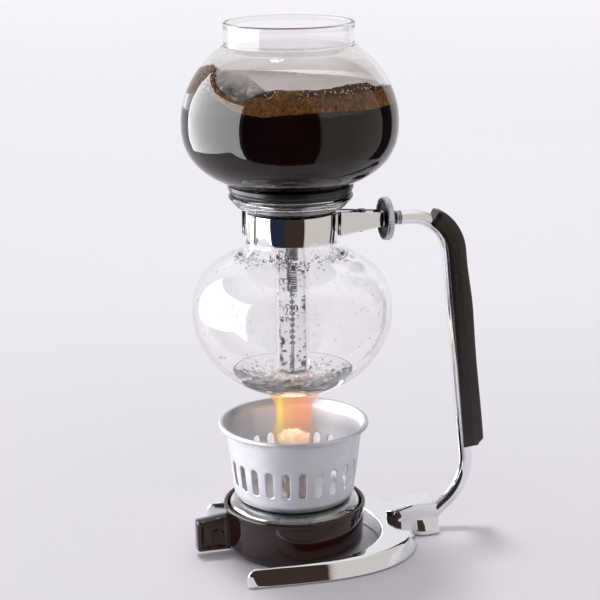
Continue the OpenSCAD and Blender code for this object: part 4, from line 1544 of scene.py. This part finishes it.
def light(name, kind, **values):
    data = bpy.data.lights.new(name, kind)
    for key, value in values.items():
        setattr(data, key, value)
    lamp = bpy.data.objects.new(name, data)
    bpy.context.scene.collection.objects.link(lamp)
    return lamp


def aim(lamp, direction):
    """Turns a light along a direction and hides it from mirrors."""
    lamp.rotation_mode = "QUATERNION"
    lamp.rotation_quaternion = direction.to_track_quat("-Z", "Y")
    lamp.visible_glossy = False


def make_lights():
    """A wide sun from the upper left, a backlight on the far floor, and the flame's own small light."""
    key = light("key", "SUN", energy=1.05, angle=math.radians(10))
    aim(key, -staged(-0.21, 0.28, 1.5))
    back = light("backlight", "AREA", shape="RECTANGLE", size=6, size_y=4, energy=20)
    back.location = staged(0, 4.5, 3.0)
    back.visible_camera = False
    aim(back, staged(0, 3.4, 0) - staged(0, 4.5, 3.0))
    flame = light("flame_light", "POINT", energy=0.012, specular_factor=0, color=(1.0, 0.6, 0.4),
                  shadow_soft_size=8 * MM)
    flame.location = (0, 0, 75 * MM)


def make_world():
    """Studio walls as bands of light by bearing, with a bright ceiling."""
    world = bpy.data.worlds.new("studio")
    bpy.context.scene.world = world
    world.use_nodes = True
    tree = world.node_tree
    tree.nodes.clear()
    output = tree.nodes.new("ShaderNodeOutputWorld")
    background = tree.nodes.new("ShaderNodeBackground")
    place = tree.nodes.new("ShaderNodeTexCoord")
    mapping = tree.nodes.new("ShaderNodeMapping")
    mapping.inputs["Rotation"].default_value = (0, 0, CAMERA_TURN)
    split = tree.nodes.new("ShaderNodeSeparateXYZ")
    bearing = tree.nodes.new("ShaderNodeMath")
    bearing.operation = "ARCTAN2"
    flip = tree.nodes.new("ShaderNodeMath")
    flip.operation = "MULTIPLY"
    flip.inputs[1].default_value = -1.0
    share = tree.nodes.new("ShaderNodeMapRange")
    share.inputs["From Min"].default_value = -math.pi
    share.inputs["From Max"].default_value = math.pi
    bands = tree.nodes.new("ShaderNodeValToRGB")
    height = tree.nodes.new("ShaderNodeMapRange")
    height.interpolation_type = "SMOOTHSTEP"
    height.inputs["From Min"].default_value = math.sin(math.radians(36))
    height.inputs["From Max"].default_value = math.sin(math.radians(72))
    mix = tree.nodes.new("ShaderNodeMix")
    mix.data_type = "RGBA"
    wire = tree.links.new
    wire(place.outputs["Generated"], mapping.inputs["Vector"])
    wire(mapping.outputs["Vector"], split.inputs[0])
    wire(split.outputs["Y"], flip.inputs[0])
    wire(split.outputs["X"], bearing.inputs[0])
    wire(flip.outputs[0], bearing.inputs[1])
    wire(bearing.outputs[0], share.inputs["Value"])
    wire(share.outputs["Result"], bands.inputs["Fac"])
    wire(split.outputs["Z"], height.inputs["Value"])
    wire(height.outputs["Result"], mix.inputs["Factor"])
    wire(bands.outputs["Color"], mix.inputs["A"])
    wire(background.outputs[0], output.inputs["Surface"])
    mix.inputs["B"].default_value = (0.95, 0.95, 0.98, 1)
    stops = [(-180, (0.85, 0.85, 0.87)), (-136, (0.85, 0.85, 0.87)), (-134, (0.35, 0.35, 0.38)),
             (-52, (0.35, 0.36, 0.4)), (-50, (0.02, 0.026, 0.05)), (-18, (0.02, 0.026, 0.05)),
             (-15, (0.045, 0.03, 0.024)), (31.2, (0.045, 0.03, 0.024)), (33, (0.62, 0.56, 0.5)),
             (110, (0.6, 0.56, 0.52)), (112, (0.035, 0.035, 0.04)), (133, (0.035, 0.035, 0.04)),
             (136, (0.85, 0.85, 0.87)), (180, (0.85, 0.85, 0.87))]
    elements = bands.color_ramp.elements
    elements.remove(elements[1])
    for i, (degrees, colour) in enumerate(stops):
        element = elements.new((degrees + 180) / 360) if i else elements[0]
        element.color = (*colour, 1)
    background.inputs["Strength"].default_value = 1.0
    ray = tree.nodes.new("ShaderNodeLightPath")
    soft = tree.nodes.new("ShaderNodeMix")
    soft.data_type = "RGBA"
    soft.inputs["B"].default_value = (0.58, 0.58, 0.59, 1)
    wire(ray.outputs["Is Diffuse Ray"], soft.inputs["Factor"])
    wire(mix.outputs["Result"], soft.inputs["A"])
    wire(soft.outputs["Result"], background.inputs["Color"])


def make_camera():
    """The photograph's view: about 15 degrees down, from a little left of the object's front."""
    data = bpy.data.cameras.new("camera")
    data.sensor_width = 36
    data.lens = 104.3
    camera = bpy.data.objects.new("camera", data)
    bpy.context.scene.collection.objects.link(camera)
    bpy.context.scene.camera = camera
    yaw, pitch, roll = (math.radians(a) for a in (0.27, 15.17, -0.63))
    up = Vector((0, 0, 1))
    forward = AWAY * math.cos(yaw) + RIGHT * math.sin(yaw)
    across = RIGHT * math.cos(yaw) - AWAY * math.sin(yaw)
    look = forward * math.cos(pitch) - up * math.sin(pitch)
    top = up * math.cos(pitch) + forward * math.sin(pitch)
    right = across * math.cos(roll) + top * math.sin(roll)
    top = top * math.cos(roll) - across * math.sin(roll)
    matrix = Matrix((right, top, -look)).transposed().to_4x4()
    matrix.translation = staged(0, -0.869, 0.372)
    camera.matrix_world = matrix


# ---------------------------------------------------------------- the scene

bowl_glass = glass("bowl_glass")
flask_glass = glass("flask_glass", 0.03)
lamp_glass = glass("lamp_glass", 0.02, (0.985, 0.995, 0.99), Coat_Weight=1.0, Coat_IOR=2.2)
steel = turned_steel("filter_steel")
screw_steel = turned_steel("screw_steel", (0.5, 0.5, 0.5), 0.3)
pipe_chrome = chrome("pipe_chrome")
base_chrome = chrome("base_chrome", smudge=0.04, wave_mm=0.02)
jaw_steel = chrome("jaw_steel", (0.83, 0.83, 0.83), 0.04)
wheel_chrome = chrome("wheel_chrome", (0.55, 0.56, 0.58), 0.3)
grip_plastic = moulded("grip_plastic", (0.014, 0.0065, 0.0052), 0.28, 0.8, 0.01)
lamp_plastic = moulded("lamp_plastic", (0.022, 0.0052, 0.0034), 0.08, 9, 0.008, (0.027, 0.0072, 0.005))
gasket_rubber = moulded("gasket_rubber", (0.006, 0.007, 0.0095), 0.3, 0.8, 0.01, (0.01, 0.011, 0.014))
seal_rubber = moulded("seal_rubber", (0.02, 0.02, 0.022), 0.5, 0.5, 0.02)
feet_rubber = moulded("feet_rubber", (0.3, 0.29, 0.28), 0.6, 0.5, 0.03)
wheel_plastic = moulded("wheel_plastic", (0.008, 0.009, 0.014), 0.5, 0.8, 0.01, (0.011, 0.012, 0.018),
                        Specular_IOR_Level=0.14)

make_upper_bowl(bowl_glass)
make_gasket(gasket_rubber)
make_filter(steel, flannel())
make_spring(turned_steel("spring_steel", (0.32, 0.3, 0.27), 0.3))
make_chain(steel)
make_flask(flask_glass)
make_base(base_chrome)
make_pipe(pipe_chrome)
make_grip(grip_plastic)
make_jaw("jaw_far", "clamp_jaw_back", 1, jaw_steel)
make_jaw("jaw_near", "clamp_jaw_front", -1, jaw_steel)
# Painted shade: the hinge pin takes a darkened copy of the screw steel.
make_hinge_pin(turned_steel("screw_steel_painted_shade", (0.2, 0.2, 0.2), 0.3))
make_clamp_screw(screw_steel)
make_wheel(wheel_chrome, wheel_plastic)
dress("base_feet", feet_rubber)
dress("pipe_grub_screw", screw_steel)
make_lamp_cup(lamp_plastic)
make_reservoir(lamp_glass)
dress("neck_seal", seal_rubber)
make_holder(holder_metal())
make_wick(burning_wick())
make_shield(satin_aluminium())
make_coffee(coffee_liquid())
make_foam(coffee_foam())
make_froth_bubbles(froth_skin())
make_splash(splash_material())
make_fog(fog_material())
make_boil(clear_water("boiling_water"))
make_bubbles(clear_water("bubble_skin"))
make_stem_water(clear_water("stem_water"), clear_water("stem_bubble"))
make_flame(flame_material())

make_floor(floor_material())
card("card_left", -130, -52, 0.7, -0.45, 0.6, (0.98, 0.98, 1.0), 6.5)
card("card_right", 34, 109, 0.75, -0.45, 0.6, (1.0, 0.94, 0.9), 0.66)
make_lights()
make_world()
make_camera()

scene = bpy.context.scene
scene.view_settings.view_transform = "Standard"
